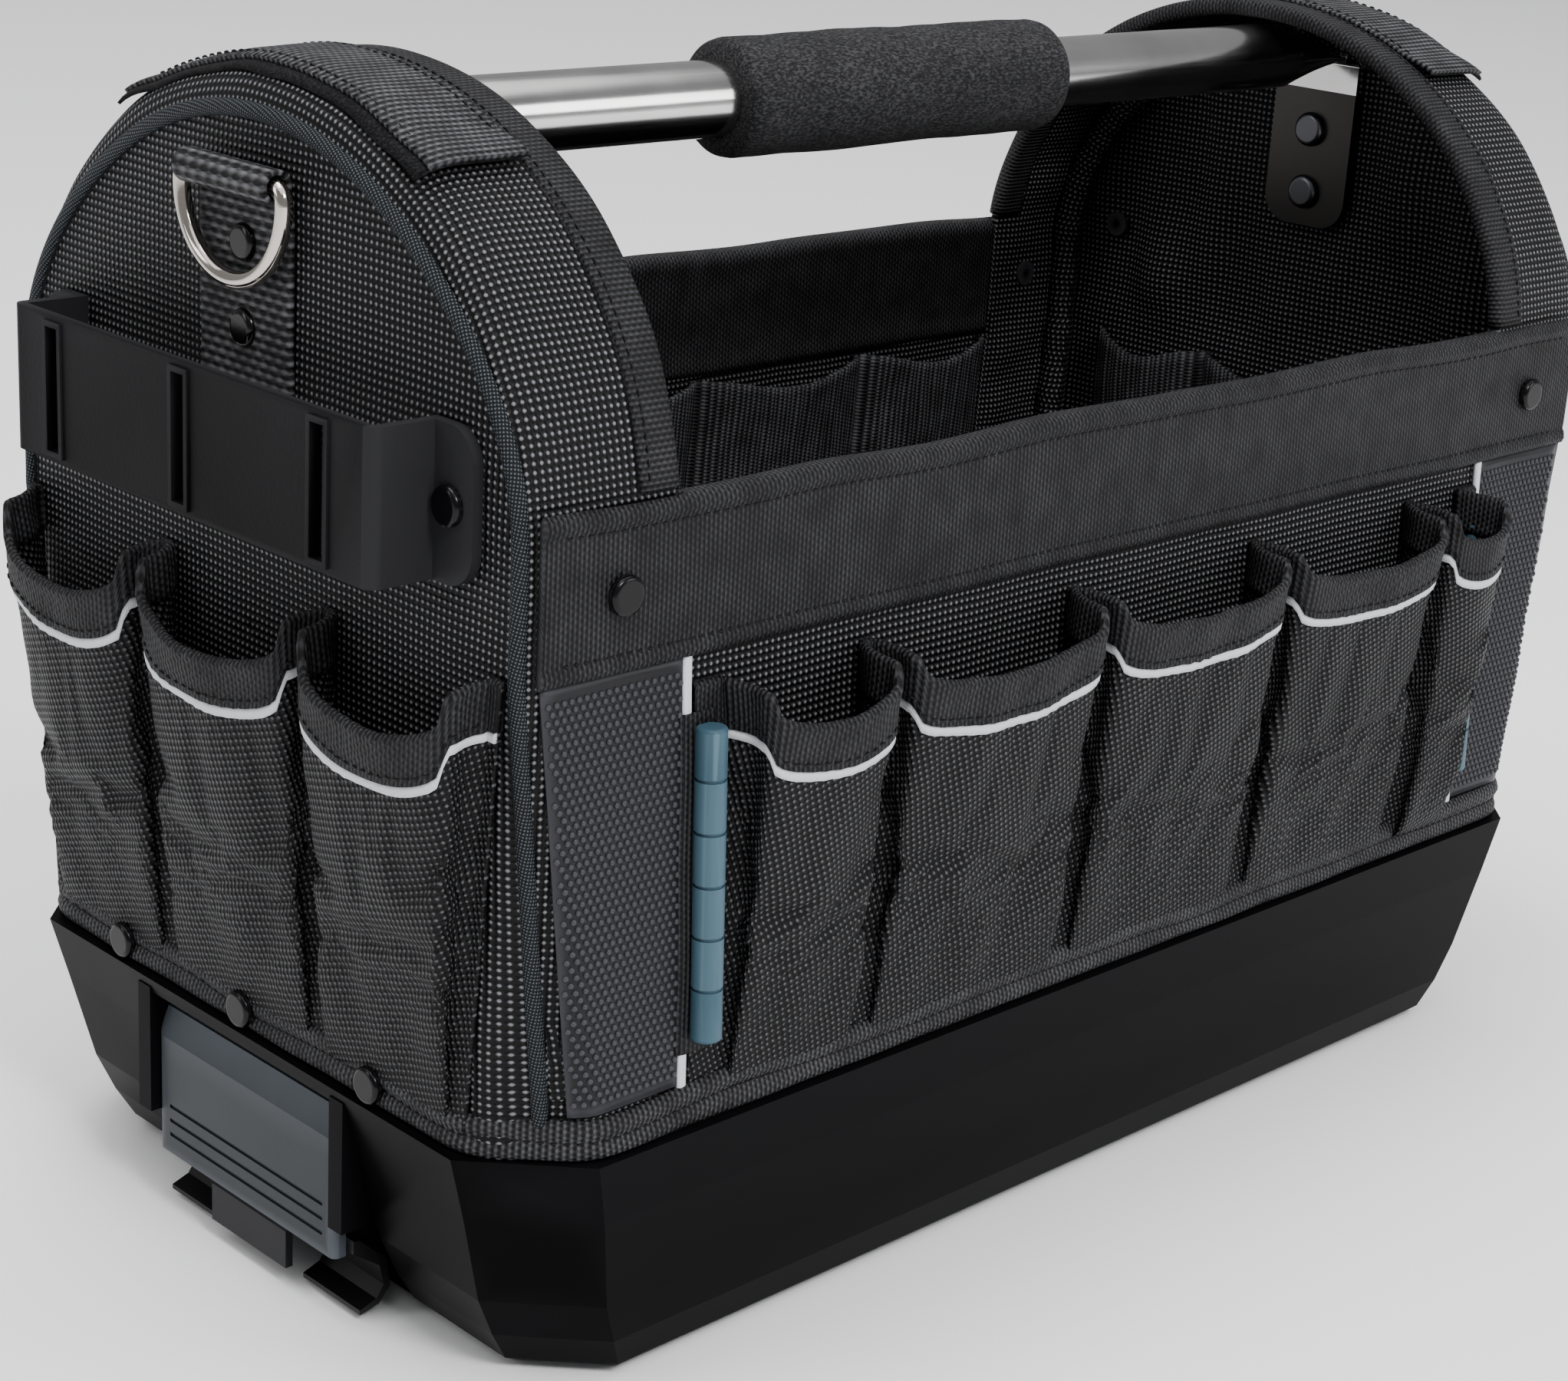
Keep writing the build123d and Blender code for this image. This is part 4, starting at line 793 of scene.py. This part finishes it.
def build_bands():
    """Webbing folded over the top of each long side, with a rolled edge above and below. A section is a list
    of (distance out from the fabric's face, height above the band's foot or its top)."""
    foot = [(0.15, 1.5), (0.9, -0.4), (2.3, 0.2), (3.0, 1.8), (2.6, 3.8), (1.9, 4.8)]
    roll = [(1.9, -5.6), (2.5, -4.6), (3.1, -2.8), (2.6, -0.8), (1.0, 0.5)]
    over = [(-1.5, 0.6), (-3.6, 0.1), (-5.2, -2.0), (-5.3, -4.5)]
    leg = [(out, BAND_LOW + z) for out, z in foot]
    leg += [(2.0, z) for z in np.linspace(BAND_LOW + 7, BAND_TOP - 8, 9)]
    leg += [(out, BAND_TOP + z) for out, z in roll]
    fold = [(out, BAND_TOP + z) for out, z in over]
    fold += [(-4.7, z) for z in np.linspace(BAND_TOP - 7, BAND_LOW + 5, 8)]
    fold += [(out, BAND_LOW + z) for out, z in ((-5.2, 2.5), (-4.4, 0.2), (-3.2, 0.3))]
    fold += [(-3.2, BAND_TOP - 4), (0.05, BAND_TOP - 4)]
    flat_fold = [(0.1, max(min(z, BAND_TOP - 1.5), BAND_LOW + 2.5)) for _, z in fold]
    xs = np.linspace(-BAND_HALF - 0.5, BAND_HALF + 0.5, 300)
    section = np.array(leg + fold)
    grid = np.zeros((len(xs), len(section), 3))
    for i, x in enumerate(xs):
        profile = section if abs(x) < HOOD_IN - 1.6 else np.array(leg + flat_fold)
        grid[i, :, 0] = x
        grid[i, :, 1] = -(SIDE_Y + profile[:, 0])
        grid[i, :, 2] = profile[:, 1]
    uv = uv_grid(xs[:, None], arc_lengths(section))
    top_share = ease((grid[:, :, 2] - BAND_LOW) / (BAND_TOP - BAND_LOW))
    from_end = BAND_HALF - np.abs(xs)
    for number, (side, mirror) in enumerate(SIDES):
        moved = grid.copy()
        wave = folds(xs, 0, 85, 71 + number) * ease(from_end / 30)
        ripple = folds(xs[:, None], grid[:, :, 2], 45, 73 + number) * ease(from_end / 20)[:, None]
        moved[:, :, 2] += (0.6 * wave)[:, None] * (0.5 + top_share)
        moved[:, :, 1] += 0.35 * ripple * top_share
        mesh = loop_mesh(moved, uv)
        add_piece(f"top_webbing_{side}", mesh, WEBBING, [f"top_band_{side}"], mirror)
        outward = np.tile((0.0, -1.0, 0.0), (len(xs) - 6, 1))
        lines = [(moved[3:-3, column], outward) for column in (5, 15)]
        add_stitches(f"top_webbing_stitching_{side}", lines, mirror)


def build_hem():
    """Coarse webbing in two rolls round the foot of the fabric, which has cut corners."""
    half_x, half_y, cut = END_OUT + 0.2, HEM_Y + 0.2, 22.0
    quarter = [(half_x, half_y - cut), (half_x - cut, half_y)]
    corners = [(half_x, -half_y + cut)] + quarter + [(-x, y) for x, y in reversed(quarter)]
    corners += [(-x, -y) for x, y in quarter] + [(x, -y) for x, y in reversed(quarter)]
    path = smooth_line(resample(corners, 3.0)[:-1], 5, closed=True)
    tangent = unit(np.roll(path, -1, 0) - np.roll(path, 1, 0))
    out = np.stack([tangent[:, 1], -tangent[:, 0]], 1)
    along = arc_lengths(path)
    lower = [(0.0, 0.3), (1.6, 0.1), (2.9, 1.4), (3.1, 3.2), (2.5, 4.9)]
    upper = [(2.5, -4.9), (3.1, -3.2), (2.8, -1.3), (1.6, 0.2), (0.0, 0.0)]
    section = [(reach, RIM_Z + z) for reach, z in lower] + [(1.9, (RIM_Z + HEM_TOP) / 2)]
    section += [(reach, HEM_TOP + z) for reach, z in upper]
    grid = np.zeros((len(path), len(section), 3))
    lift = 0.9 * folds(along, 0, 75, 81)
    for k, (reach, z) in enumerate(section):
        thick = 1 + 0.10 * folds(along, 9 * k, 28, 83)
        grid[:, k, :2] = path + out * (reach * thick)[:, None]
        grid[:, k, 2] = z + lift * ease((z - RIM_Z) / 4)
    uv = uv_grid(along[:, None], arc_lengths(section))
    rows, cols = grid.shape[:2]
    faces = [tuple(i % (rows * cols) for i in face) for face in quads(rows + 1, cols, 0, True)]
    mesh = (grid.reshape(-1, 3), faces, uv.reshape(-1, 2))
    add_piece("hem_webbing", mesh, HEM, ["hem_band"])
    normal = np.concatenate([out, np.zeros((len(out), 1))], 1)
    add_stitches("hem_stitching", [(grid[:, 5], normal)])


# ---- pockets: one pleated sheet along each wall --------------------------------------------------------
CLOTH_SETTINGS = {
    "quality": 6,
    "mass": 0.35,
    "tension_stiffness": 40,
    "compression_stiffness": 40,
    "shear_stiffness": 12,
    "bending_stiffness": 5.0,
    "air_damping": 3,
    "vertex_group_mass": "pins",
    "shrink_min": -0.015,
    "use_pressure": True,
    "uniform_pressure_force": 0.25,
}
FRAMES = 16
MOVE_CAP = 2.2
FOOT_OUT = 0.7  # the sheet's height over the wall where it is sewn down
FIELD_ROWS = 34
PIPE_ROWS = 2
BIND_ROWS = 6
BIND_TALL = 12.0
PIPE_TALL = 2.8
FOOT_Z = HEM_TOP - 5.0


def simulate(piece, pins):
    """Lets the cloth settle under its own weight, held at its pins, and gives the points where it ends."""
    group = piece.vertex_groups.new(name="pins")
    for index, weight in enumerate(pins):
        if weight > 0:
            group.add([index], float(weight), "REPLACE")
    cloth = piece.modifiers.new("cloth", "CLOTH")
    for key, value in CLOTH_SETTINGS.items():
        setattr(cloth.settings, key, value)
    cloth.collision_settings.use_collision = False
    scene = bpy.context.scene
    cloth.point_cache.frame_start = scene.frame_start = 1
    cloth.point_cache.frame_end = scene.frame_end = FRAMES
    for number in range(1, FRAMES + 1):
        scene.frame_set(number)
    evaluated = piece.evaluated_get(bpy.context.evaluated_depsgraph_get())
    result = np.zeros(len(evaluated.data.vertices) * 3)
    evaluated.data.vertices.foreach_get("co", result)
    scene.frame_set(1)
    return result.reshape(-1, 3) / MM


def pocket_path(seams, seams_low, level, depth_low, depth_high, margin, bulge, lean_out):
    """One level of a pleated pocket row, from the bottom (level 0) to the mouth (level 1): points (along,
    out), whether each is sewn down, how high its mouth is (0 to 1), and its place across a front, or -1.
    Walls keep their length, so low down they fold in behind the front of the pocket."""
    gap = 1.3
    wall = depth_high + 0.5
    shares = np.linspace(0, 1, 11)[:-1]
    feet = [b + (a - b) * level for a, b in zip(seams, seams_low)]
    made = [(feet[0] - margin * t, FOOT_OUT, 1, 1.0, -1) for t in (1.0, 0.66, 0.33)]
    for number in range(len(seams) - 1):
        left, right = feet[number] + gap, feet[number + 1] - gap
        last = lean_out if number == len(seams) - 2 else 0.0
        depth = depth_low + (depth_high - depth_low) * level ** (0.4 if last else 0.8)
        lean = 0.5 + 1.3 * level
        lean_right = lean - last * level**0.4
        walls = []
        for foot_at, top_at, inward in ((left, left + lean, 1), (right, right - lean_right, -1)):
            foot, top = np.array((foot_at, FOOT_OUT)), np.array((top_at, depth))
            half = np.linalg.norm(top - foot) / 2
            knee_out = math.sqrt(max((wall / 2) ** 2 - half**2, 0.0))
            knee = (foot + top) / 2 + np.array((inward * knee_out, 0.0))
            lower = [foot + (knee - foot) * 2 * t for t in shares if t < 0.5]
            run = lower + [knee + (top - knee) * (2 * t - 1) for t in shares if t >= 0.5]
            walls.append([(*point, t == 0, 1.0 - 0.15 * t, -1) for point, t in zip(run, shares)])
        made += walls[0]
        count = max(10, int(round((seams[number + 1] - seams[number]) / 2.4)))
        for t in np.linspace(0, 1, count):
            arch = math.sin(math.pi * t)
            place = left + lean + (right - lean_right - left - lean) * t
            made.append((place, depth + bulge * level * arch**0.8, 0, 0.7 - 0.7 * arch**0.4, t))
        made += walls[1][::-1]
    made += [(feet[-1] + margin * t, FOOT_OUT, 1, 1.0, -1) for t in (0.33, 0.66, 1.0)]
    made = np.array(made, float)
    return made[:, :2], made[:, 2] == 1, made[:, 3], made[:, 4]


def drape(fronts, level):
    """Tension folds on the pocket fronts: they run from the corners of the mouth in towards the hem."""
    inner = 0.06 + 0.30 * (1 - level)
    depth = 2.2 * math.sin(math.pi * min(1.0, level * 1.15)) ** 0.8
    made = np.zeros(len(fronts))
    for place, width, size in (
        (inner, 0.075, 1.0),
        (1 - inner, 0.075, 1.0),
        (inner * 1.6 + 0.1, 0.06, 0.35),
        (1.02 - inner * 1.9, 0.05, 0.45),
    ):
        made -= size * depth * np.exp(-(((fronts - place) / width) ** 2))
    return np.where(fronts < 0, 0.0, made * ease(np.minimum(fronts, 1 - fronts) / 0.06))


def pocket_sheet(seams, seams_low, mouth_low, mouth_high, shape, seed):
    """Pleated sheet as a grid of (along, out, z), with pin weights. Its top rows carry tape and binding."""
    _, sewn, mouths, fronts = pocket_path(seams, seams_low, 1.0, *shape)
    top = mouth_low + (mouth_high - mouth_low) * mouths
    field_top = top - BIND_TALL - PIPE_TALL
    heights = [FOOT_Z + (field_top - FOOT_Z) * t for t in np.linspace(0, 1, FIELD_ROWS)]
    heights += [field_top + PIPE_TALL * t for t in np.linspace(0, 1, PIPE_ROWS + 1)[1:]]
    heights += [field_top + PIPE_TALL + BIND_TALL * t for t in np.linspace(0, 1, BIND_ROWS + 1)[1:]]
    grid, pins = [], []
    for number, z in enumerate(heights):
        level = float(np.clip((z.mean() - FOOT_Z) / (field_top.mean() + 15 - FOOT_Z), 0, 1))
        path = pocket_path(seams, seams_low, level, *shape)[0]
        path[:, 1] = np.maximum(path[:, 1] + drape(fronts, level), 0.9)
        rounded = smooth_line(path, 7, held=sewn)
        grid.append(np.concatenate([rounded, z[:, None]], 1))
        stiff = 0.85 if number >= FIELD_ROWS - 1 else 0.15 + 0.7 * (1 - float(ease(level / 0.6)))
        pins.append(np.where(sewn, 1.0, 1.0 if number < 3 else stiff))
    grid = np.array(grid)
    along = arc_lengths(grid[-1][:, :2])
    height = grid[..., 2]
    crease = folds(along, height, 46, seed, stretch=1.6) + 0.5 * folds(along, height, 21, seed + 1)
    free = (1 - sewn) * ease((height - FOOT_Z) / 25)
    grid = grid + grid_normals(grid) * (0.9 * crease * free)[..., None]
    return grid, np.array(pins), along


def to_world(grid, kind):
    """From (along, out, z) to the frame, for the front or for the left end."""
    along, out, z = grid[..., 0], grid[..., 1], grid[..., 2]
    if kind == "side":
        return np.stack([along, -(side_y(z) + out), z], -1)
    return np.stack([-(END_OUT + 0.4 + out), -along, z], -1)


def settle(start, pins, kind):
    """Runs the cloth simulation on the sheet and limits how far any point may move."""
    rows, cols = start.shape[:2]
    mesh = bpy.data.meshes.new("settling")
    mesh.from_pydata((start.reshape(-1, 3) * MM).tolist(), [], quads(rows, cols))
    piece = bpy.data.objects.new("settling", mesh)
    bpy.context.scene.collection.objects.link(piece)
    result = simulate(piece, pins.ravel()).reshape(rows, cols, 3)
    bpy.data.objects.remove(piece)
    bpy.data.meshes.remove(mesh)
    move = result - start
    size = np.linalg.norm(move, axis=-1, keepdims=True)
    moved = start + move * np.minimum(1.0, MOVE_CAP / np.maximum(size, 1e-6))
    if kind == "side":
        moved[..., 1] = np.minimum(moved[..., 1], -(side_y(moved[..., 2]) + 0.6))
    else:
        moved[..., 0] = np.minimum(moved[..., 0], -(END_OUT + 0.9))
    return moved


def add_pockets(kind, walls, sheet, along):
    """Fabric, reflective tape, binding and stitching of one pocket row and of its mirror image."""
    normal = grid_normals(sheet)
    outward = np.array((0.0, -1.0, 0.0)) if kind == "side" else np.array((-1.0, 0.0, 0.0))
    if (normal.reshape(-1, 3) @ outward).sum() < 0:
        normal = -normal
    uv = uv_grid(along, sheet[..., 2])
    tape = slice(FIELD_ROWS - 1, FIELD_ROWS + PIPE_ROWS)
    rows, rows_n = sheet[tape.stop - 1 :], normal[tape.stop - 1 :]
    # the binding's section: up the outside, over the top and down the inside
    up = unit(np.gradient(sheet, axis=0))[-1]
    outside = [rows[k] + rows_n[k] * (1.6 if k in (0, BIND_ROWS) else 1.35) for k in range(BIND_ROWS + 1)]
    crown = [sheet[-1] + up * rise + normal[-1] * out for rise, out in ((1.0, 0.8), (1.3, 0.0), (1.0, -0.8))]
    inside = [rows[k] - rows_n[k] * 1.25 for k in range(BIND_ROWS, -1, -1)]
    section = np.stack(outside + crown + inside, axis=1)
    binding = loop_mesh(section, uv_grid(along[:, None], arc_lengths(section[20])))
    fabric = shell_mesh(sheet + normal * 0.55, sheet - normal * 0.55, uv)
    strip = shell_mesh(sheet[tape] + normal[tape] * 1.25, sheet[tape] + normal[tape] * 0.3, uv[tape])
    stitches = [(section[2:-2, 1], rows_n[1][2:-2])]
    for wall, mirror in walls:
        node = f"{kind}_pockets_{wall}"
        piece = add_piece(f"{kind}_pocket_fabric_{wall}", fabric, WEAVE_FINE, [node], mirror)
        node = f"{kind}_reflective_piping_{wall}"
        add_piece(f"{kind}_pocket_tape_{wall}", strip, REFLECT, [node], mirror)
        node = f"{kind}_pocket_bindings_{wall}"
        add_piece(f"{kind}_pocket_binding_{wall}", binding, WEBBING, [node], mirror)
        add_stitches(f"{kind}_pocket_stitching_{wall}", stitches, mirror)


def build_pockets():
    # a shape is the depth at the hem and at the mouth, the flat margin beside the row, the swell of a mouth,
    # and how far the last pocket leans out
    side_shape = (1.6, 18.0, 8.5, 1.6, 10.0)
    end_shape = (1.6, 14.0, 2.0, 3.5, 0.0)
    for kind, walls, seams, seams_low, mouth_low, mouth_high, shape, seed in (
        ("side", SIDES, SIDE_SEAMS, SIDE_SEAMS, 184.0, 195.0, side_shape, 7),
        ("end", ENDS, END_SEAMS, END_SEAMS_LOW, 186.0, 204.0, end_shape, 15),
    ):
        grid, pins, along = pocket_sheet(seams, seams_low, mouth_low, mouth_high, shape, seed)
        sheet = to_world(grid, kind)
        sheet = settle(sheet, pins, kind)
        add_pockets(kind, walls, sheet, along)


# ---- pockets inside -----------------------------------------------------------------------------------


def elastic_row(spans, z_low, z_high, dip, seed):
    """Grid (along, out, z) of gathered elastic pockets: each span bulges, and its rim dips in the middle."""
    depth = 11.5
    places, outs, rims = [], [], []
    for a, b in spans:
        for t in np.linspace(0, 1, 30):
            places.append(a + (b - a) * t)
            outs.append(0.6 + (depth - 0.6) * (1 - abs(2 * t - 1) ** 3.2) ** 0.6)
            rims.append(z_high - dip * ease((0.5 - abs(t - 0.5)) / 0.42 - 0.1))
    x, out, rim = np.array(places), np.array(outs), np.array(rims)
    grid = []
    for t in np.linspace(0, 1, 26):
        z = z_low + (rim - z_low) * t
        pull = 0.86 + 0.14 * t
        gather = 0.35 * np.sin(x * 2 * math.pi / 6.5 + 3 * t) + 0.5 * folds(x, z, 26, seed)
        grid.append(np.stack([x, np.maximum(out * pull + gather * np.minimum(out / 4, 1), 0.5), z], -1))
    return np.array(grid)


def add_elastic(name, points, grid, node, mirror=""):
    normal = grid_normals(points)
    mesh = shell_mesh(points + normal * 0.8, points - normal * 0.8, grid[..., ::2])
    piece = add_piece(name, mesh, ELASTIC, [node], mirror)


def build_inner_pockets():
    node = "inner_loops_back"
    spans = ((-132.0, -53.0), (-51.0, 28.0), (30.0, 109.0), (111.0, 175.0))
    loops = elastic_row(spans, low(node, 2), high(node, 2) - 1, 4.5, 91)
    x, out, z = np.moveaxis(loops, -1, 0)
    points = np.stack([x, np.maximum(side_y(z) - CLOTH - out, low(node, 1) - 0.5), z], -1)
    add_elastic("back_wall_loops", points, loops, node)
    spans = ((-86.0, -38.0), (-36.0, 36.0), (38.0, 86.0))
    for number, (end, mirror) in enumerate(ENDS):
        node = f"inner_pockets_{end}"
        pouches = elastic_row(spans, low(node, 2), high(node, 2), 5.0, 95 + number)
        y, out, z = np.moveaxis(pouches, -1, 0)
        points = np.stack([out - (END_OUT - CLOTH - 1.0), y, z], -1)
        add_elastic(f"hood_pouches_{end}", points, pouches, node, mirror)


# ---- straps, trims and grip ---------------------------------------------------------------------------


def build_ring_straps():
    """Coarse webbing from behind the bracket up to the tube that holds the D-ring."""
    node = "ring_strap_left"
    tube_r = 3.9
    tube_x, tube_z = low(node, 0) + 4.5, high(node, 2) - 4.5
    line = [(-END_OUT - 1.6, z) for z in np.linspace(low(node, 2), tube_z - 5.5, 26)]
    for angle in np.linspace(math.radians(-28), math.radians(300), 26):
        line.append((tube_x + tube_r * math.cos(angle), tube_z + tube_r * math.sin(angle)))
    line = np.array(line)
    ys = np.linspace(-high(node, 1) - 0.6, high(node, 1) + 0.6, 22)
    along = arc_lengths(line)
    grid = np.zeros((len(line), len(ys), 3))
    for j, y in enumerate(ys):
        grid[:, j, 0] = line[:, 0] - 0.25 * folds(along, y, 30, 101) * ease((along - 5) / 20)
        grid[:, j, 1] = y + 0.35 * folds(along, 0, 34, 103)
        grid[:, j, 2] = line[:, 1]
    normal = grid_normals(grid)
    mesh = shell_mesh(grid + normal * 0.7, grid - normal * 0.7, uv_grid(along[:, None], ys))
    for end, mirror in ENDS:
        add_piece(f"ring_webbing_{end}", mesh, STRAP, [f"ring_strap_{end}"], mirror)


def build_bar_flanges():
    """Black welt behind each bar, and white tape on the seam above and below it."""
    bar = "edge_bar_left_front"
    bar_left = low(bar, 0)
    welt = (low(bar, 2) - 4, high(bar, 2) + 3), bar_left - 1.9, bar_left + 11.5, 2.4, 0.9, WEBBING, "webbing"
    tape = (HEM_TOP - 2, BAND_LOW + 1), -HOOD_IN + 3.9, -HOOD_IN + 6.9, 1.9, 1.2, REFLECT, "reflective"
    for name, (span, start, stop, lift, thick, mat, slot) in (("bar_welt", welt), ("seam_tape", tape)):
        x, z = np.meshgrid(np.linspace(start, stop, 7), np.linspace(*span, 40))
        edge = 1 - np.abs(np.linspace(-1, 1, 7)) ** 4
        wander = 0.35 * folds(z, 0, 60, 107)
        outer = np.stack([x + wander, -(side_y(z) + lift * (0.75 + 0.25 * edge)), z], -1)
        mesh = shell_mesh(outer, outer + np.array((0.0, thick, 0.0)), uv_grid(x, z))
        for end, mirror_x in ENDS:
            for side, mirror_y in SIDES:
                add_piece(f"{name}_{end}_{side}", mesh, mat, (), mirror_x + mirror_y)


def build_grip():
    """Foam sleeve with soft, rounded ends and a slightly uneven surface."""
    ends = np.array([1.0, 0.997, 0.985, 0.965])
    round_off = np.array([0.66, 0.80, 0.91, 0.97])
    x = np.concatenate([-ends, np.linspace(-0.93, 0.93, 70), ends[::-1]]) * GRIP_HALF
    shape = np.concatenate([round_off, np.ones(70), round_off[::-1]])
    sides = 56
    grid = np.zeros((len(x), sides, 3))
    for k in range(sides):
        angle = 2 * math.pi * k / sides
        press = 0.25 * folds(x, 6 * math.cos(angle), 48, 111) + 0.15 * folds(x, 9 * math.sin(angle), 20, 113)
        radius = (GRIP_R - 0.2 + press * (shape > 0.95)) * shape
        grid[:, k] = np.stack([x, radius * math.cos(angle), HANDLE_Z + radius * math.sin(angle)], 1)
    piece = add_piece("grip_sleeve", loop_mesh(grid, grid[..., :2]), FOAM, ["foam_grip"])


build_gussets()
build_end_panels()
build_piping_and_sleeves()
build_hood_bindings()
build_tabs()
build_patches()
build_side_panels()
build_bands()
build_hem()
build_pockets()
build_inner_pockets()
build_ring_straps()
build_bar_flanges()
build_grip()

# ---- floor, light and camera --------------------------------------------------------------------------


def build_floor():
    mat, _, _ = start_material("studio_floor", (0.95, 0.95, 0.955), 0.9, specular=0.0)
    mesh = bpy.data.meshes.new("floor")
    half = 6.0
    corners = [(-half, -half, 0), (half, -half, 0), (half, half, 0), (-half, half, 0)]
    mesh.from_pydata(corners, [], [(0, 1, 2, 3)])
    mesh.materials.append(mat)
    floor = bpy.data.objects.new("floor", mesh)
    bpy.context.scene.collection.objects.link(floor)
    floor.location.z = -0.0002


def add_area_light(name, place, size, power, target=(0.0, 0.0, 0.18)):
    data = bpy.data.lights.new(name, "AREA")
    data.shape = "RECTANGLE"
    data.size, data.size_y = size
    data.energy = power
    light = bpy.data.objects.new(name, data)
    light.location = place
    light.rotation_euler = (Vector(target) - Vector(place)).to_track_quat("-Z", "Y").to_euler()
    bpy.context.scene.collection.objects.link(light)


def build_lights():
    world = bpy.data.worlds.new("studio")
    world.use_nodes = True
    background = world.node_tree.nodes["Background"]
    background.inputs["Color"].default_value = (0.97, 0.98, 1.0, 1)
    background.inputs["Strength"].default_value = 0.36
    bpy.context.scene.world = world
    add_area_light("key", (-0.5, -1.8, 1.9), (0.6, 0.6), 46)
    add_area_light("left_rim", (-1.9, 0.8, 1.1), (0.6, 1.1), 9)
    add_area_light("front_fill", (1.2, -1.8, 0.9), (0.9, 0.8), 16)
    add_area_light("top", (-0.3, 0.2, 2.2), (1.1, 0.6), 22)
    add_area_light("ceiling", (0.0, 0.4, 5.0), (8.0, 8.0), 330, (0.0, 0.4, 0.0))


def build_camera():
    """Close camera in front of the left corner, a little tilted, as in a product shot."""
    azimuth, pitch, roll = math.radians(-45.33), math.radians(19.01), math.radians(3.51)
    distance = 0.94905
    level = math.cos(pitch)
    back = Vector((math.sin(azimuth) * level, -math.cos(azimuth) * level, math.sin(pitch)))
    right = Vector((0, 0, 1)).cross(back).normalized()
    up = back.cross(right)
    right, up = (
        right * math.cos(roll) + up * math.sin(roll),
        up * math.cos(roll) - right * math.sin(roll),
    )
    aim = Vector((0.0, 0.0, 0.200)) + right * -0.0229 + up * -0.0691
    data = bpy.data.cameras.new("camera")
    data.sensor_width = 36.0
    data.lens = 69.32
    camera = bpy.data.objects.new("camera", data)
    bpy.context.scene.collection.objects.link(camera)
    turn = Matrix((right, up, back)).transposed().to_4x4()
    camera.matrix_world = Matrix.Translation(aim + back * distance) @ turn
    bpy.context.scene.camera = camera


build_floor()
build_lights()
build_camera()
